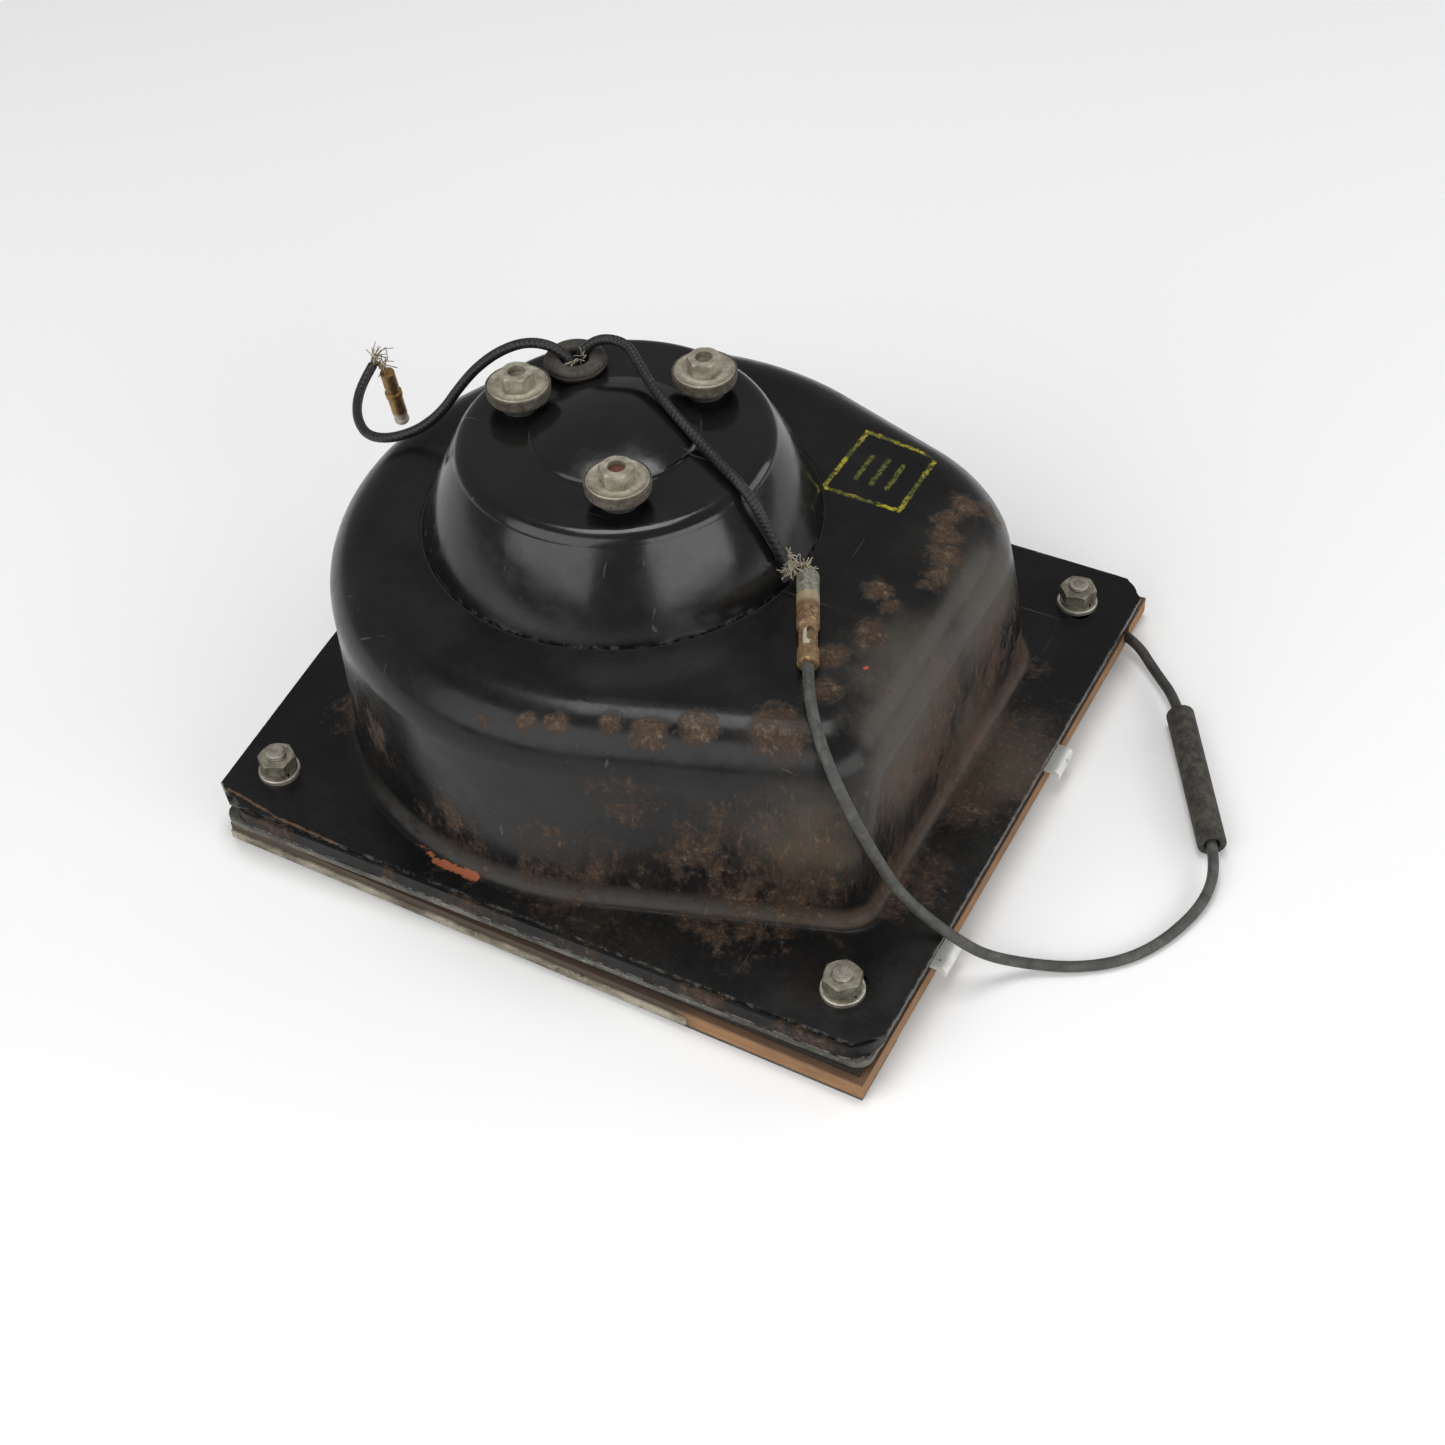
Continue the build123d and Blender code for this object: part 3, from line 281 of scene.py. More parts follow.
def add_rust(look, colour, rough, height, fine, places):
    """Ragged rust: a dark stain with a lighter, pitted core in each place."""
    region = look.spots(places)
    grain = look.centred(look.noise(2.3, 7.0, 0.80, stretch=(1.0, 1.0, 1.9), shift=3.0), 1.5)
    drift = look.centred(look.noise(8.5, 4.0, 0.6, stretch=(1.0, 1.0, 1.7), shift=23.0), 1.5)
    ragged = look.plus(region, grain, drift)
    shown = look.step(region, 0.0, 0.18)
    stain = look.times(look.step(ragged, 0.22, 0.62), shown)
    pits = look.step(look.noise(1.3, 7.0, 0.85, stretch=(1.0, 1.0, 1.6), shift=101.0), 0.40, 0.54)
    core = look.step(look.plus(ragged, look.centred(fine, 1.6)), 0.36, 0.86)
    core = look.times(core, shown, look.blend(pits, 0.25, 1.0))
    shade = look.mix(look.step(look.noise(1.1, 6.0, 0.8, shift=14.0), 0.40, 0.64), RUST_DARK, RUST)
    shade = look.mix(look.step(look.noise(3.4, 4.0, 0.7, shift=61.0), 0.50, 0.70), shade, RUST_PALE)
    colour = look.mix(look.times(stain, 0.75), colour, RUST_DARK)
    colour = look.mix(look.times(core, 0.85), colour, shade)
    rough = look.blend(look.most(stain, core), rough, 0.70)
    return colour, rough, look.plus(height, look.times(core, 0.7))


def add_run(look, colour, rough, start, end, width, ragged_by, shade):
    """A scrape or run of another colour along a short line."""
    wobble = look.centred(look.noise(2.6, 5.0, 0.75, shift=8.0), ragged_by)
    scraped = look.step(look.plus(look.along(start, end), wobble), width + 0.35, width - 0.15)
    return look.mix(look.times(scraped, 0.92), colour, shade), look.blend(scraped, rough, 0.6)


def add_strokes(look, colour, rough, strokes):
    """Yellow brush strokes on the top face, worn through and greener in the middle."""
    flat = look.vector("MULTIPLY", look.mm, (1.0, 1.0, 0.0))
    lines = [look.along((*start, 0.0), (*end, 0.0), flat) for start, end in strokes]
    wobble = look.centred(look.noise(1.5, 5.0, 0.75, shift=6.0), 2.2)
    stroke = look.step(look.plus(look.fold("MINIMUM", lines), wobble), 0.95, 0.45)
    left_over = look.step(look.noise(1.6, 6.0, 0.8, shift=19.0), 0.36, 0.56)
    painted = look.times(stroke, left_over, look.step(look.z, *TOP_FACE))
    tint = look.mix(look.step(look.noise(6.0, 4.0, 0.7, shift=71.0), 0.44, 0.60), OLD_YELLOW, YELLOW)
    tint = look.mix(look.times(look.near(MARK_MIDDLE, 11.5, 0.2), 0.92), tint, OLD_YELLOW)
    return look.mix(look.times(painted, 0.90), colour, tint), look.blend(painted, rough, 0.5)


def enamel(name, worn, gloss, dust, shine, rust_spots=(), haze_spots=(), runs=(), strokes=()):
    """Old black enamel: dust film, fine scratches, a worn edge, and marks at given places."""
    look = Look(name)
    broad = look.noise(38.0, 5.0, 0.6)
    fine = look.noise(1.6, 6.0, 0.65)
    colour = look.mix(look.times(look.step(broad, 0.38, 0.72), dust * 0.36), BLACK, DUST)
    rough = look.blend(look.step(look.noise(11.0, 6.0, 0.7, shift=9.0), 0.35, 0.75), gloss, gloss + 0.16)
    scratches = look.most(
        look.step(look.noise(2.4, 2.0, 0.4, stretch=(24.0, 0.9, 3.0), shift=4.0), 0.735, 0.77),
        look.step(look.noise(2.4, 2.0, 0.4, stretch=(0.9, 20.0, 3.0), shift=44.0), 0.745, 0.78),
    )
    colour = look.mix(look.times(scratches, 0.25), colour, SCRATCH)
    dots = look.step(look.noise(0.55, 3.0, 0.6, shift=31.0), 0.745, 0.775)
    colour = look.mix(look.times(dots, 0.5), colour, SPECK)
    height = look.plus(look.times(fine, 0.25), look.times(broad, 0.75))
    if haze_spots:
        colour, rough = add_haze(look, colour, rough, fine, haze_spots)
    if rust_spots:
        colour, rough, height = add_rust(look, colour, rough, height, fine, rust_spots)
    for run in runs:
        colour, rough = add_run(look, colour, rough, *run)
    if strokes:
        colour, rough = add_strokes(look, colour, rough, strokes)
    edge = look.times(worn(look), look.step(look.noise(3.4, 6.0, 0.78, shift=27.0), 0.46, 0.62))
    colour = look.mix(look.times(edge, 0.6), colour, BARE)
    rough = look.blend(edge, rough, 0.42)
    return look.done(
        colour,
        rough,
        look.bump(height, 0.16, 0.45),
        Specular_IOR_Level=shine,
        Coat_Weight=0.08,
        Coat_Roughness=0.12,
    )


RED_RUST = (0.125, 0.038, 0.022)
PINE_DARK = (0.145, 0.070, 0.028)
PINE_LIGHT = (0.42, 0.225, 0.092)
PINE_LINE = (0.19, 0.080, 0.034)
PINE_STAIN = (0.085, 0.048, 0.028)
PINE_BLACKENED = (0.040, 0.034, 0.024)
# colour of the painted shade along the batten tops and of the darker bottom edges
PINE_SHADE_DARK = (0.060, 0.034, 0.020)
PALE_SALT = (0.62, 0.61, 0.57)
THREAD_PITCH = 0.8


def plated(name, base, dark, rust_share, rough, thread=None, red_at=None):
    """Dull plated steel with grime, a little rust and, where asked, thread crests."""
    look = Look(name)
    cloud = look.noise(3.0, 6.0, 0.7)
    colour = look.mix(look.step(cloud, 0.30, 0.72), dark, base)
    dull = look.times(look.step(look.noise(2.0, 6.0, 0.75, shift=12.0), 0.60, 0.72), rust_share)
    colour = look.mix(dull, colour, RUST)
    if red_at is not None:
        red = look.near(red_at, 4.5, 0.3)
        dull = look.most(dull, red)
        colour = look.mix(red, colour, RED_RUST)
    height = look.noise(0.5, 5.0, 0.7)
    if thread is not None:
        crest = look.math("SINE", look.times(look.z, 2 * math.pi / THREAD_PITCH))
        height = look.plus(height, look.times(look.plus(crest, 1.0), look.step(look.z, *thread), 1.6))
    rough_map = look.blend(cloud, rough - 0.08, rough + 0.22)
    return look.done(colour, rough_map, look.bump(height, 0.10, 0.6), look.blend(dull, 0.85, 0.1))


def wood(name, along_x):
    """Old pine, darker along its top as painted shade under the pan and darker towards its bottom edge. A
    batten along x is blackened over its left part.
    """
    look = Look(name)
    stretch = (26.0, 1.0, 1.0) if along_x else (1.0, 26.0, 1.0)
    grain = look.noise(1.1, 6.0, 0.7, stretch=stretch, warp=0.4)
    rings = look.noise(5.2, 3.0, 0.5, stretch=stretch, shift=3.0)
    lines = look.step(look.math("FRACT", look.times(rings, 9.0)), 0.55, 0.95)
    stains = look.step(look.noise(14.0, 5.0, 0.6, shift=7.0), 0.45, 0.75)
    colour = look.mix(grain, PINE_DARK, PINE_LIGHT)
    colour = look.mix(look.times(lines, 0.45), colour, PINE_LINE)
    colour = look.mix(look.times(stains, 0.55), colour, PINE_STAIN)
    if along_x:
        ragged_x = look.plus(look.x, look.centred(grain, 16.0))
        colour = look.mix(look.times(look.step(ragged_x, 60.0, 50.0), 0.92), colour, PINE_BLACKENED)
    # painted shade along the top under the pan, and darker towards the bottom edge
    grime = look.most(look.step(look.z, 6.0, 7.1), look.step(look.z, 1.3, 0.3))
    colour = look.mix(look.times(grime, 0.75), colour, PINE_SHADE_DARK)
    return look.done(colour, look.blend(grain, 0.62, 0.85), look.bump(grain, 0.25, 0.7))


def rubber(name, base, light, rough=0.7, size=2.0):
    """Rubber, plastic or felt with a pale bloom and fine cracks."""
    look = Look(name)
    bloom = look.noise(size, 6.0, 0.7)
    cracks = look.step(look.cells(size * 1.4), 0.05, 0.0)
    colour = look.mix(look.step(bloom, 0.35, 0.75), base, light)
    colour = look.mix(look.times(cracks, 0.35), colour, (0.010, 0.009, 0.008))
    height = look.math("SUBTRACT", bloom, look.times(cracks, 0.35))
    return look.done(colour, look.blend(bloom, rough, rough + 0.2), look.bump(height, 0.18, 0.6))


def aged_paint(name, base, dark, chips, chip_share, rough, salt=0.0):
    """Aged flat paint or strip metal with chips, stains and white salts."""
    look = Look(name)
    stain = look.noise(9.0, 7.0, 0.68, stretch=(2.2, 2.2, 1.0))
    colour = look.mix(look.step(stain, 0.36, 0.66), dark, base)
    chipped = look.times(look.step(look.noise(3.0, 6.0, 0.75, shift=21.0), 0.60, 0.66), chip_share)
    colour = look.mix(chipped, colour, chips)
    crust = look.times(look.step(look.noise(1.8, 7.0, 0.8, shift=33.0), 0.56, 0.68), salt)
    colour = look.mix(crust, colour, PALE_SALT)
    height = look.plus(stain, look.math("SUBTRACT", crust, chipped))
    return look.done(colour, look.blend(stain, rough, rough + 0.25), look.bump(height, 0.2, 0.7), 0.15)


def braid(name, base, light, turns, bands):
    """Lacquered cotton braid: two sets of crossing yarns wound round the cord."""
    look = Look(name)
    uv = look.tree.nodes.new("ShaderNodeSeparateXYZ")
    look.put(look.coordinates.outputs["UV"], uv.inputs[0])
    along = look.times(uv.outputs[0], turns)
    across = look.times(uv.outputs[1], bands)
    wound_left = look.math("SINE", look.plus(along, across))
    wound_right = look.math("SINE", look.math("SUBTRACT", along, across))
    yarn = look.most(wound_left, wound_right)
    wear = look.noise(2.2, 6.0, 0.7)
    colour = look.mix(look.step(yarn, -0.2, 1.0), (0.004, 0.004, 0.004), base)
    streak = look.step(look.noise(1.2, 6.0, 0.75, shift=9.0), 0.45, 0.65)
    colour = look.mix(look.times(look.step(wear, 0.50, 0.75), streak, 0.8), colour, light)
    return look.done(colour, look.blend(wear, 0.34, 0.6), look.bump(yarn, 0.12, 0.5))


def brass(name, base, dark, pale_below=None):
    """Grimy brass, with a pale tinned end below a height where asked."""
    look = Look(name)
    cloud = look.noise(2.4, 6.0, 0.7)
    colour = look.mix(look.step(cloud, 0.32, 0.68), dark, base)
    grime = look.step(look.noise(1.2, 6.0, 0.8, shift=5.0), 0.50, 0.72)
    colour = look.mix(look.times(grime, 0.6), colour, (0.070, 0.052, 0.034))
    metal = 0.75
    if pale_below is not None:
        pale = look.step(look.z, pale_below + 1.4, pale_below)
        colour = look.mix(look.times(pale, 0.8), colour, (0.42, 0.41, 0.36))
        metal = look.blend(pale, 0.75, 0.2)
    return look.done(colour, look.blend(cloud, 0.38, 0.64), look.bump(cloud, 0.08, 0.5), metal)


def weathered_socket(name, start, end, highlight_from, highlight_to):
    """Brass socket gone grey at its closed end, pale at the seam and brown further on, with white salt
    patches and a pale streak along its top that is a painted highlight.
    """
    look = Look(name)
    way = (Vector(end) - Vector(start)).normalized()
    cloud = look.noise(1.8, 6.0, 0.72)
    reach = look.vector("DOT_PRODUCT", look.vector("SUBTRACT", look.mm, start), tuple(way))
    reach = look.plus(reach, look.centred(cloud, 2.4))
    brown = look.mix(look.step(cloud, 0.35, 0.65), (0.110, 0.062, 0.032), (0.245, 0.150, 0.078))
    gold = look.step(look.noise(2.8, 5.0, 0.7, shift=8.0), 0.56, 0.66)
    brown = look.mix(look.times(gold, 0.8), brown, (0.46, 0.32, 0.11))
    pale = look.mix(cloud, (0.22, 0.180, 0.105), (0.42, 0.355, 0.225))
    grey = look.mix(look.step(cloud, 0.35, 0.65), (0.115, 0.115, 0.092), (0.27, 0.265, 0.215))
    colour = look.mix(look.step(reach, 8.4, 9.4), grey, pale)
    colour = look.mix(look.step(reach, 11.6, 13.6), colour, brown)
    patches = look.step(look.noise(1.4, 6.0, 0.8, shift=15.0), 0.56, 0.66)
    salt = look.times(patches, look.step(reach, 17.0, 20.0), look.step(reach, 31.0, 27.0))
    # pale streak along the top of the socket: a painted highlight, added to the salt patches
    streak = look.plus(look.along(highlight_from, highlight_to), look.centred(cloud, 1.6))
    salt = look.most(salt, look.step(streak, 1.15, 0.75))
    colour = look.mix(look.times(salt, 0.9), colour, (0.50, 0.46, 0.36))
    return look.done(colour, look.blend(cloud, 0.45, 0.7), look.bump(cloud, 0.12, 0.7), 0.35)


# places of the marks, in millimetres of the row frame: spots are (centre, radius, share),
# runs are (start, end, half width, raggedness, colour)
RUST_SPOTS = (
    ((0.5, -84.7, 78.0), 5.0, 0.95),
    ((8.0, -82.0, 78.8), 6.5, 1.0),
    ((21.5, -76.8, 79.5), 5.5, 0.90),
    ((32.5, -75.0, 78.4), 8.5, 1.05),
    ((44.5, -68.6, 80.0), 9.0, 1.10),
    ((63.5, -61.0, 80.4), 14.0, 0.90),
    ((-12.0, -88.0, 76.0), 6.0, 0.60),
    ((63.5, -31.0, 81.6), 8.5, 1.15),
    ((67.0, -44.0, 81.6), 8.5, 1.0),
    ((70.0, -19.0, 81.6), 9.0, 0.85),
    ((64.5, -2.0, 81.6), 8.0, 1.0),
    ((70.0, -6.5, 81.6), 6.5, 0.72),
    ((75.5, 5.5, 81.3), 6.5, 0.66),
    ((76.5, 12.5, 81.1), 8.5, 0.86),
    ((75.0, 19.5, 81.2), 9.0, 1.0),
    ((72.0, 27.0, 81.5), 8.5, 0.95),
    ((69.0, 34.5, 81.5), 8.0, 0.80),
    ((71.5, 42.5, 81.0), 9.5, 0.95),
    ((77.0, 48.0, 77.5), 9.0, 0.80),
    ((92.0, -14.0, 46.0), 36.0, 0.58),
    ((92.0, 26.0, 40.0), 32.0, 0.62),
    ((92.0, -5.0, 18.0), 26.0, 0.66),
    ((88.0, 49.0, 24.0), 17.0, 0.80),
    ((90.0, -42.0, 18.5), 24.0, 0.66),
    ((70.0, -68.0, 24.0), 26.0, 0.58),
    ((46.0, -77.0, 40.0), 34.0, 0.55),
    ((54.0, -76.0, 22.0), 26.0, 0.66),
    ((10.0, -86.0, 26.0), 36.0, 0.50),
    ((28.0, -84.0, 58.0), 24.0, 0.44),
    ((-70.0, -70.0, 50.0), 18.0, 0.52),
    ((-56.0, -79.0, 44.0), 16.0, 0.52),
    ((-86.0, -54.0, 24.0), 22.0, 0.56),
    ((-24.0, -92.0, 30.0), 26.0, 0.45),
)
HAZE_SPOTS = (
    ((94.0, -28.0, 64.0), 60.0, 1.0),
    ((92.0, 20.0, 66.0), 44.0, 0.95),
    ((74.0, -66.0, 50.0), 42.0, 0.80),
    ((94.0, 10.0, 22.0), 46.0, 0.85),
    ((20.0, -88.0, 24.0), 48.0, 0.35),
    ((-66.0, -74.0, 40.0), 44.0, 0.31),
)
PAN_SPOTS = (
    ((-86.0, -102.5, 13.0), 22.0, 0.50),
    ((-50.0, -102.5, 14.0), 22.0, 0.42),
    ((-12.0, -102.5, 12.5), 22.0, 0.56),
    ((24.0, -102.5, 14.0), 22.0, 0.48),
    ((58.0, -102.5, 12.0), 22.0, 0.66),
    ((92.0, -102.5, 13.0), 22.0, 0.44),
)
SCRAPED = (0.46, 0.44, 0.38)
RED_DOT = (0.46, 0.055, 0.038)
WHITE_CHIP = (0.62, 0.60, 0.54)
RUNS = (
    ((-40.5, -91.0, 18.2), (-33.0, -93.2, 17.6), 0.7, 3.0, PRIMER),
    ((-31.0, -94.2, 17.3), (-17.5, -94.8, 17.2), 1.1, 3.8, PRIMER),
    ((-102.0, -96.8, 17.0), (-84.0, -99.6, 17.0), 0.25, 3.2, RUST),
    ((-84.0, -100.0, 17.0), (-60.0, -101.0, 17.0), 0.15, 2.6, RUST),
    ((-105.2, -96.0, 16.6), (-102.4, -98.2, 16.6), 0.4, 1.2, SCRAPED),
    ((74.0, -31.6, 81.5), (74.4, -31.0, 81.5), 0.42, 0.8, RED_DOT),
    ((14.6, -87.0, 72.0), (16.8, -86.4, 72.4), 0.35, 1.4, WHITE_CHIP),
)
MARK_CORNERS = ((31.0, 31.5), (31.9, 60.0), (55.2, 57.8), (55.3, 31.0))
MARK_MIDDLE = (43.0, 45.0, 81.6)
MARK_BARS = (((38.0, 39.0), (38.0, 50.0)), ((43.0, 38.5), (43.0, 50.5)), ((48.0, 38.5), (48.0, 49.5)))
mark_strokes = [*zip(MARK_CORNERS, MARK_CORNERS[1:] + MARK_CORNERS[:1]), *MARK_BARS]


def flange_edge(look):
    """Worn rim of the flange: its outer edges and cut corners, only on the thin sheet."""
    sheet = look.times(look.step(look.z, 17.3, 17.1), look.step(look.z, 15.6, 15.9))
    across = look.math("ABSOLUTE", look.y)
    cut_corner = look.math("SUBTRACT", across, look.times(look.x, 0.5))
    side = look.most(
        look.step(across, 100.5, 101.1),
        look.step(look.x, 109.3, 109.9),
        look.step(cut_corner, 147.6, 148.6),
    )
    return look.times(sheet, side, 0.4)


def pan_edge(look):
    """Worn lower rim of the pan."""
    return look.step(look.z, 12.0, 11.2)


def cap_edge(look):
    """Paint rubbed off round the foot of the cap."""
    return look.times(look.step(look.z, 83.0, 82.0), 0.25)


housing_look = enamel(
    "housing_enamel",
    flange_edge,
    gloss=0.22,
    dust=0.5,
    shine=0.22,
    rust_spots=RUST_SPOTS,
    haze_spots=HAZE_SPOTS,
    runs=RUNS,
    strokes=mark_strokes,
)
cap_look = enamel("cap_enamel", cap_edge, gloss=0.12, dust=0.2, shine=0.42)
pan_look = enamel("pan_enamel", pan_edge, gloss=0.42, dust=0.3, shine=0.14, rust_spots=PAN_SPOTS)
wood_x = wood("pine_along_front", along_x=True)
wood_y = wood("pine_along_side", along_x=False)
grey_strip = aged_paint(
    "grey_strip",
    (0.155, 0.148, 0.125),
    (0.045, 0.042, 0.034),
    (0.030, 0.024, 0.018),
    chip_share=0.8,
    rough=0.55,
    salt=0.35,
)
edge_metal = aged_paint(
    "corroded_strip",
    (0.36, 0.325, 0.245),
    (0.085, 0.070, 0.048),
    (0.060, 0.042, 0.026),
    chip_share=0.9,
    rough=0.6,
    salt=0.7,
)
sheet_look = aged_paint(
    "olive_sheet",
    (0.10, 0.095, 0.072),
    (0.035, 0.032, 0.026),
    (0.02, 0.016, 0.012),
    chip_share=0.7,
    rough=0.6,
    salt=0.2,
)
clip_look = aged_paint(
    "clip_paint",
    (0.80, 0.80, 0.77),
    (0.60, 0.60, 0.56),
    (0.03, 0.028, 0.025),
    chip_share=0.95,
    rough=0.42,
)
# near-black felt whose colour is painted shade for the dark gap between the pan and the battens
shade_gap_felt = rubber("felt_dark_as_shade", (0.012, 0.009, 0.007), (0.034, 0.025, 0.018), rough=0.9, size=1.0)
zinc_look = plated("zinc_steel", (0.50, 0.475, 0.39), (0.27, 0.245, 0.185), rust_share=0.30, rough=0.5)
aged_look = plated("aged_steel", (0.36, 0.34, 0.275), (0.150, 0.138, 0.105), rust_share=0.40, rough=0.5)
rim_look = plated("worn_washers", (0.60, 0.57, 0.49), (0.30, 0.28, 0.225), rust_share=0.25, rough=0.42)
stud_look = plated(
    "stud_steel",
    (0.42, 0.40, 0.34),
    (0.17, 0.145, 0.115),
    rust_share=0.5,
    rough=0.5,
    thread=(20.0, 20.2),
)
motor_stud_look = plated(
    "motor_stud_steel",
    (0.30, 0.285, 0.235),
    (0.11, 0.095, 0.075),
    rust_share=0.4,
    rough=0.5,
    red_at=(-0.5, -28.1, 120.6),
)
black_rubber = rubber("black_rubber", (0.011, 0.0105, 0.010), (0.030, 0.028, 0.025))
bush_rubber = rubber("bush_rubber", (0.044, 0.037, 0.027), (0.128, 0.112, 0.084), rough=0.75)
grommet_rubber = rubber("grommet_rubber", (0.030, 0.026, 0.022), (0.085, 0.074, 0.061), rough=0.62, size=4.0)
sleeve_rubber = rubber("sleeve_rubber", (0.020, 0.018, 0.015), (0.090, 0.080, 0.064), rough=0.72, size=3.4)
mastic_look = rubber("dry_mastic", (0.006, 0.006, 0.006), (0.020, 0.018, 0.016), rough=0.8, size=1.2)
old_brass = brass("old_brass", (0.33, 0.235, 0.095), (0.135, 0.100, 0.050))
bullet_brass = brass("bullet_brass", (0.40, 0.250, 0.090), (0.190, 0.118, 0.048), pale_below=61.0)
socket_look = weathered_socket(
    "weathered_socket",
    (45.7, -8.1, 84.9),
    (61.5, -40.1, 84.9),
    # ends of the painted highlight streak along the socket's top
    (56.2, -30.1, 87.3),
    (58.4, -34.6, 87.3),
)
grey_pvc = rubber("grey_pvc", (0.040, 0.040, 0.036), (0.095, 0.093, 0.083), rough=0.5, size=5.0)
dark_pvc = rubber("dark_pvc", (0.020, 0.019, 0.017), (0.060, 0.056, 0.049), rough=0.55, size=5.0)
motor_steel = plated("motor_steel", (0.42, 0.42, 0.41), (0.20, 0.20, 0.19), rust_share=0.1, rough=0.38)
wheel_steel = plated("wheel_steel", (0.46, 0.46, 0.45), (0.26, 0.26, 0.25), rust_share=0.15, rough=0.42)
copper_look = plated("copper", (0.55, 0.22, 0.10), (0.30, 0.11, 0.05), rust_share=0.0, rough=0.4)
ferrite_look = rubber("ferrite", (0.020, 0.020, 0.021), (0.055, 0.055, 0.056), rough=0.6, size=1.5)
bakelite_look = rubber("bakelite", (0.055, 0.030, 0.017), (0.11, 0.060, 0.034), rough=0.42, size=4.0)

LOOKS = {
    housing_look: ("blower_housing",),
    cap_look: ("motor_cap",),
    pan_look: ("base_pan", "inlet_ring"),
    mastic_look: ("cap_seal",),
    wood_x: ("front_batten", "back_batten"),
    wood_y: ("left_batten", "right_batten", "divider_batten"),
    grey_strip: ("backing_frame",),
    edge_metal: ("edge_strip",),
    sheet_look: ("base_sheet",),
    clip_look: ("frame_clips",),
    shade_gap_felt: ("felt_gasket",),
    zinc_look: ("mount_nuts", "mount_washers"),
    aged_look: ("corner_nuts", "corner_spring_washers"),
    rim_look: ("corner_washers",),
    stud_look: ("corner_studs",),
    motor_stud_look: ("motor_studs",),
    black_rubber: ("mount_spacers", "lower_bushes"),
    bush_rubber: ("rim_bushes",),
    grommet_rubber: ("cable_grommet",),
    sleeve_rubber: ("rubber_sleeve",),
    bullet_brass: ("left_bullet",),
    socket_look: ("bullet_socket",),
    old_brass: ("terminals", "wire_splice", "return_lug", "upper_bearing", "lower_bearing"),
    motor_steel: (
        "motor_case",
        "motor_end_plate",
        "motor_shaft",
        "armature_core",
        "brush_springs",
        "hub_screw",
        "hub_circlip",
    ),
    wheel_steel: ("impeller_hub", "impeller_disc", "impeller_blades", "impeller_ring"),
    copper_look: ("armature_windings", "commutator"),
    ferrite_look: ("field_magnets", "brushes"),
    bakelite_look: ("brush_holder", "terminal_block"),
}
for look_material, names in LOOKS.items():
    for name in names:
        nodes[name].data.materials.clear()
        nodes[name].data.materials.append(look_material)


# ------------------------------------------------------------------ cables
def new_curve(name, radius, steps, roundness):
    """An empty round tube; steps and roundness set how finely it is drawn."""
    curve = bpy.data.curves.new(name, "CURVE")
    curve.dimensions = "3D"
    curve.resolution_u = steps
    curve.bevel_depth = radius * MM
    curve.bevel_resolution = roundness
    curve.use_fill_caps = True
    return curve


def add_run_through(curve, places):
    """One smooth run that starts and ends at the first and last place."""
    spline = curve.splines.new("NURBS")
    spline.points.add(len(places) - 1)
    for point, place in zip(spline.points, places):
        point.co = (*(Vector(place) * MM), 1.0)
    spline.order_u = 3
    spline.use_endpoint_u = True


def new_piece(name, curve, material):
    curve.materials.append(material)
    piece = bpy.data.objects.new(name, curve)
    bpy.context.scene.collection.objects.link(piece)
    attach(piece, BODY)
    return piece


def cable(name, route, radius, material, node):
    """A free cable: one smooth curve through the CAD route, standing for its tube."""
    curve = new_curve(name, radius, 16, 6)
    add_run_through(curve, route)
    piece = new_piece(name, curve, material)
    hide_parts(node)
    return piece


LEAD_RADIUS = 1.5
WIRE_RADIUS = 1.6
SLEEVE_START = Vector((161.7, 17.2, 4.3))
SLEEVE_STOP = Vector((135.2, 63.6, 4.3))
sleeve_way = (SLEEVE_STOP - SLEEVE_START).normalized()


def on_sleeve_axis(distance):
    """The point this many millimetres past the start of the rubber sleeve."""
    return tuple(SLEEVE_START + sleeve_way * distance)


LEFT_ROUTE = (
    (-39.5, 17.4, 102.8),
    (-39.5, 17.4, 111.4),
    (-45.7, 16.8, 117.5),
    (-54.8, 16.4, 117.2),
    (-63.2, 14.2, 113.2),
    (-70.4, 11.2, 107.0),
    (-76.0, 8.2, 99.6),
    (-80.6, 5.2, 92.0),
    (-86.6, 1.2, 86.0),
    (-94.6, -3.6, 83.0),
    (-103.6, -3.4, 80.8),
    (-111.0, 2.0, 80.2),
    (-116.9, 9.8, 79.6),
    (-120.6, 18.7, 80.2),
    (-121.3, 25.9, 81.8),
)
RIGHT_ROUTE = (
    (-42.4, 19.9, 102.8),
    (-42.4, 19.9, 112.2),
    (-36.8, 24.2, 118.7),
    (-27.6, 25.2, 119.2),
    (-20.4, 19.4, 117.4),
    (-11.4, 12.0, 116.6),
    (-1.4, 5.6, 115.6),
    (8.4, 0.6, 113.4),
    (18.4, -5.6, 113.0),
    (27.0, -10.5, 112.9),
    (32.9, -12.0, 107.5),
    (36.4, -11.5, 98.4),
    (39.9, -10.8, 90.4),
)
BRIDGE_ROUTE = (
    (61.5, -40.1, 84.9),
    (66.6, -50.43, 84.9),
    (76.0, -62.6, 82.0),
    (84.6, -68.0, 72.0),
    (89.2, -65.6, 57.4),
    (91.8, -61.2, 43.5),
    (96.8, -58.8, 31.0),
    (105.0, -57.2, 22.0),
    (114.6, -57.0, 17.2),
    (120.8, -52.6, 9.4),
    (130.6, -45.4, 3.0),
    (143.4, -39.6, 1.7),
    (154.6, -31.0, 1.7),
    (162.0, -18.6, 1.7),
    (166.8, -2.5, 2.4),
    on_sleeve_axis(-7.0),
    on_sleeve_axis(6.0),
)
RETURN_ROUTE = (
    on_sleeve_axis(45.4),
    on_sleeve_axis(59.3),
    (121.6, 78.8, 3.6),
    (111.0, 88.2, 5.5),
    (101.0, 90.4, 5.5),
)

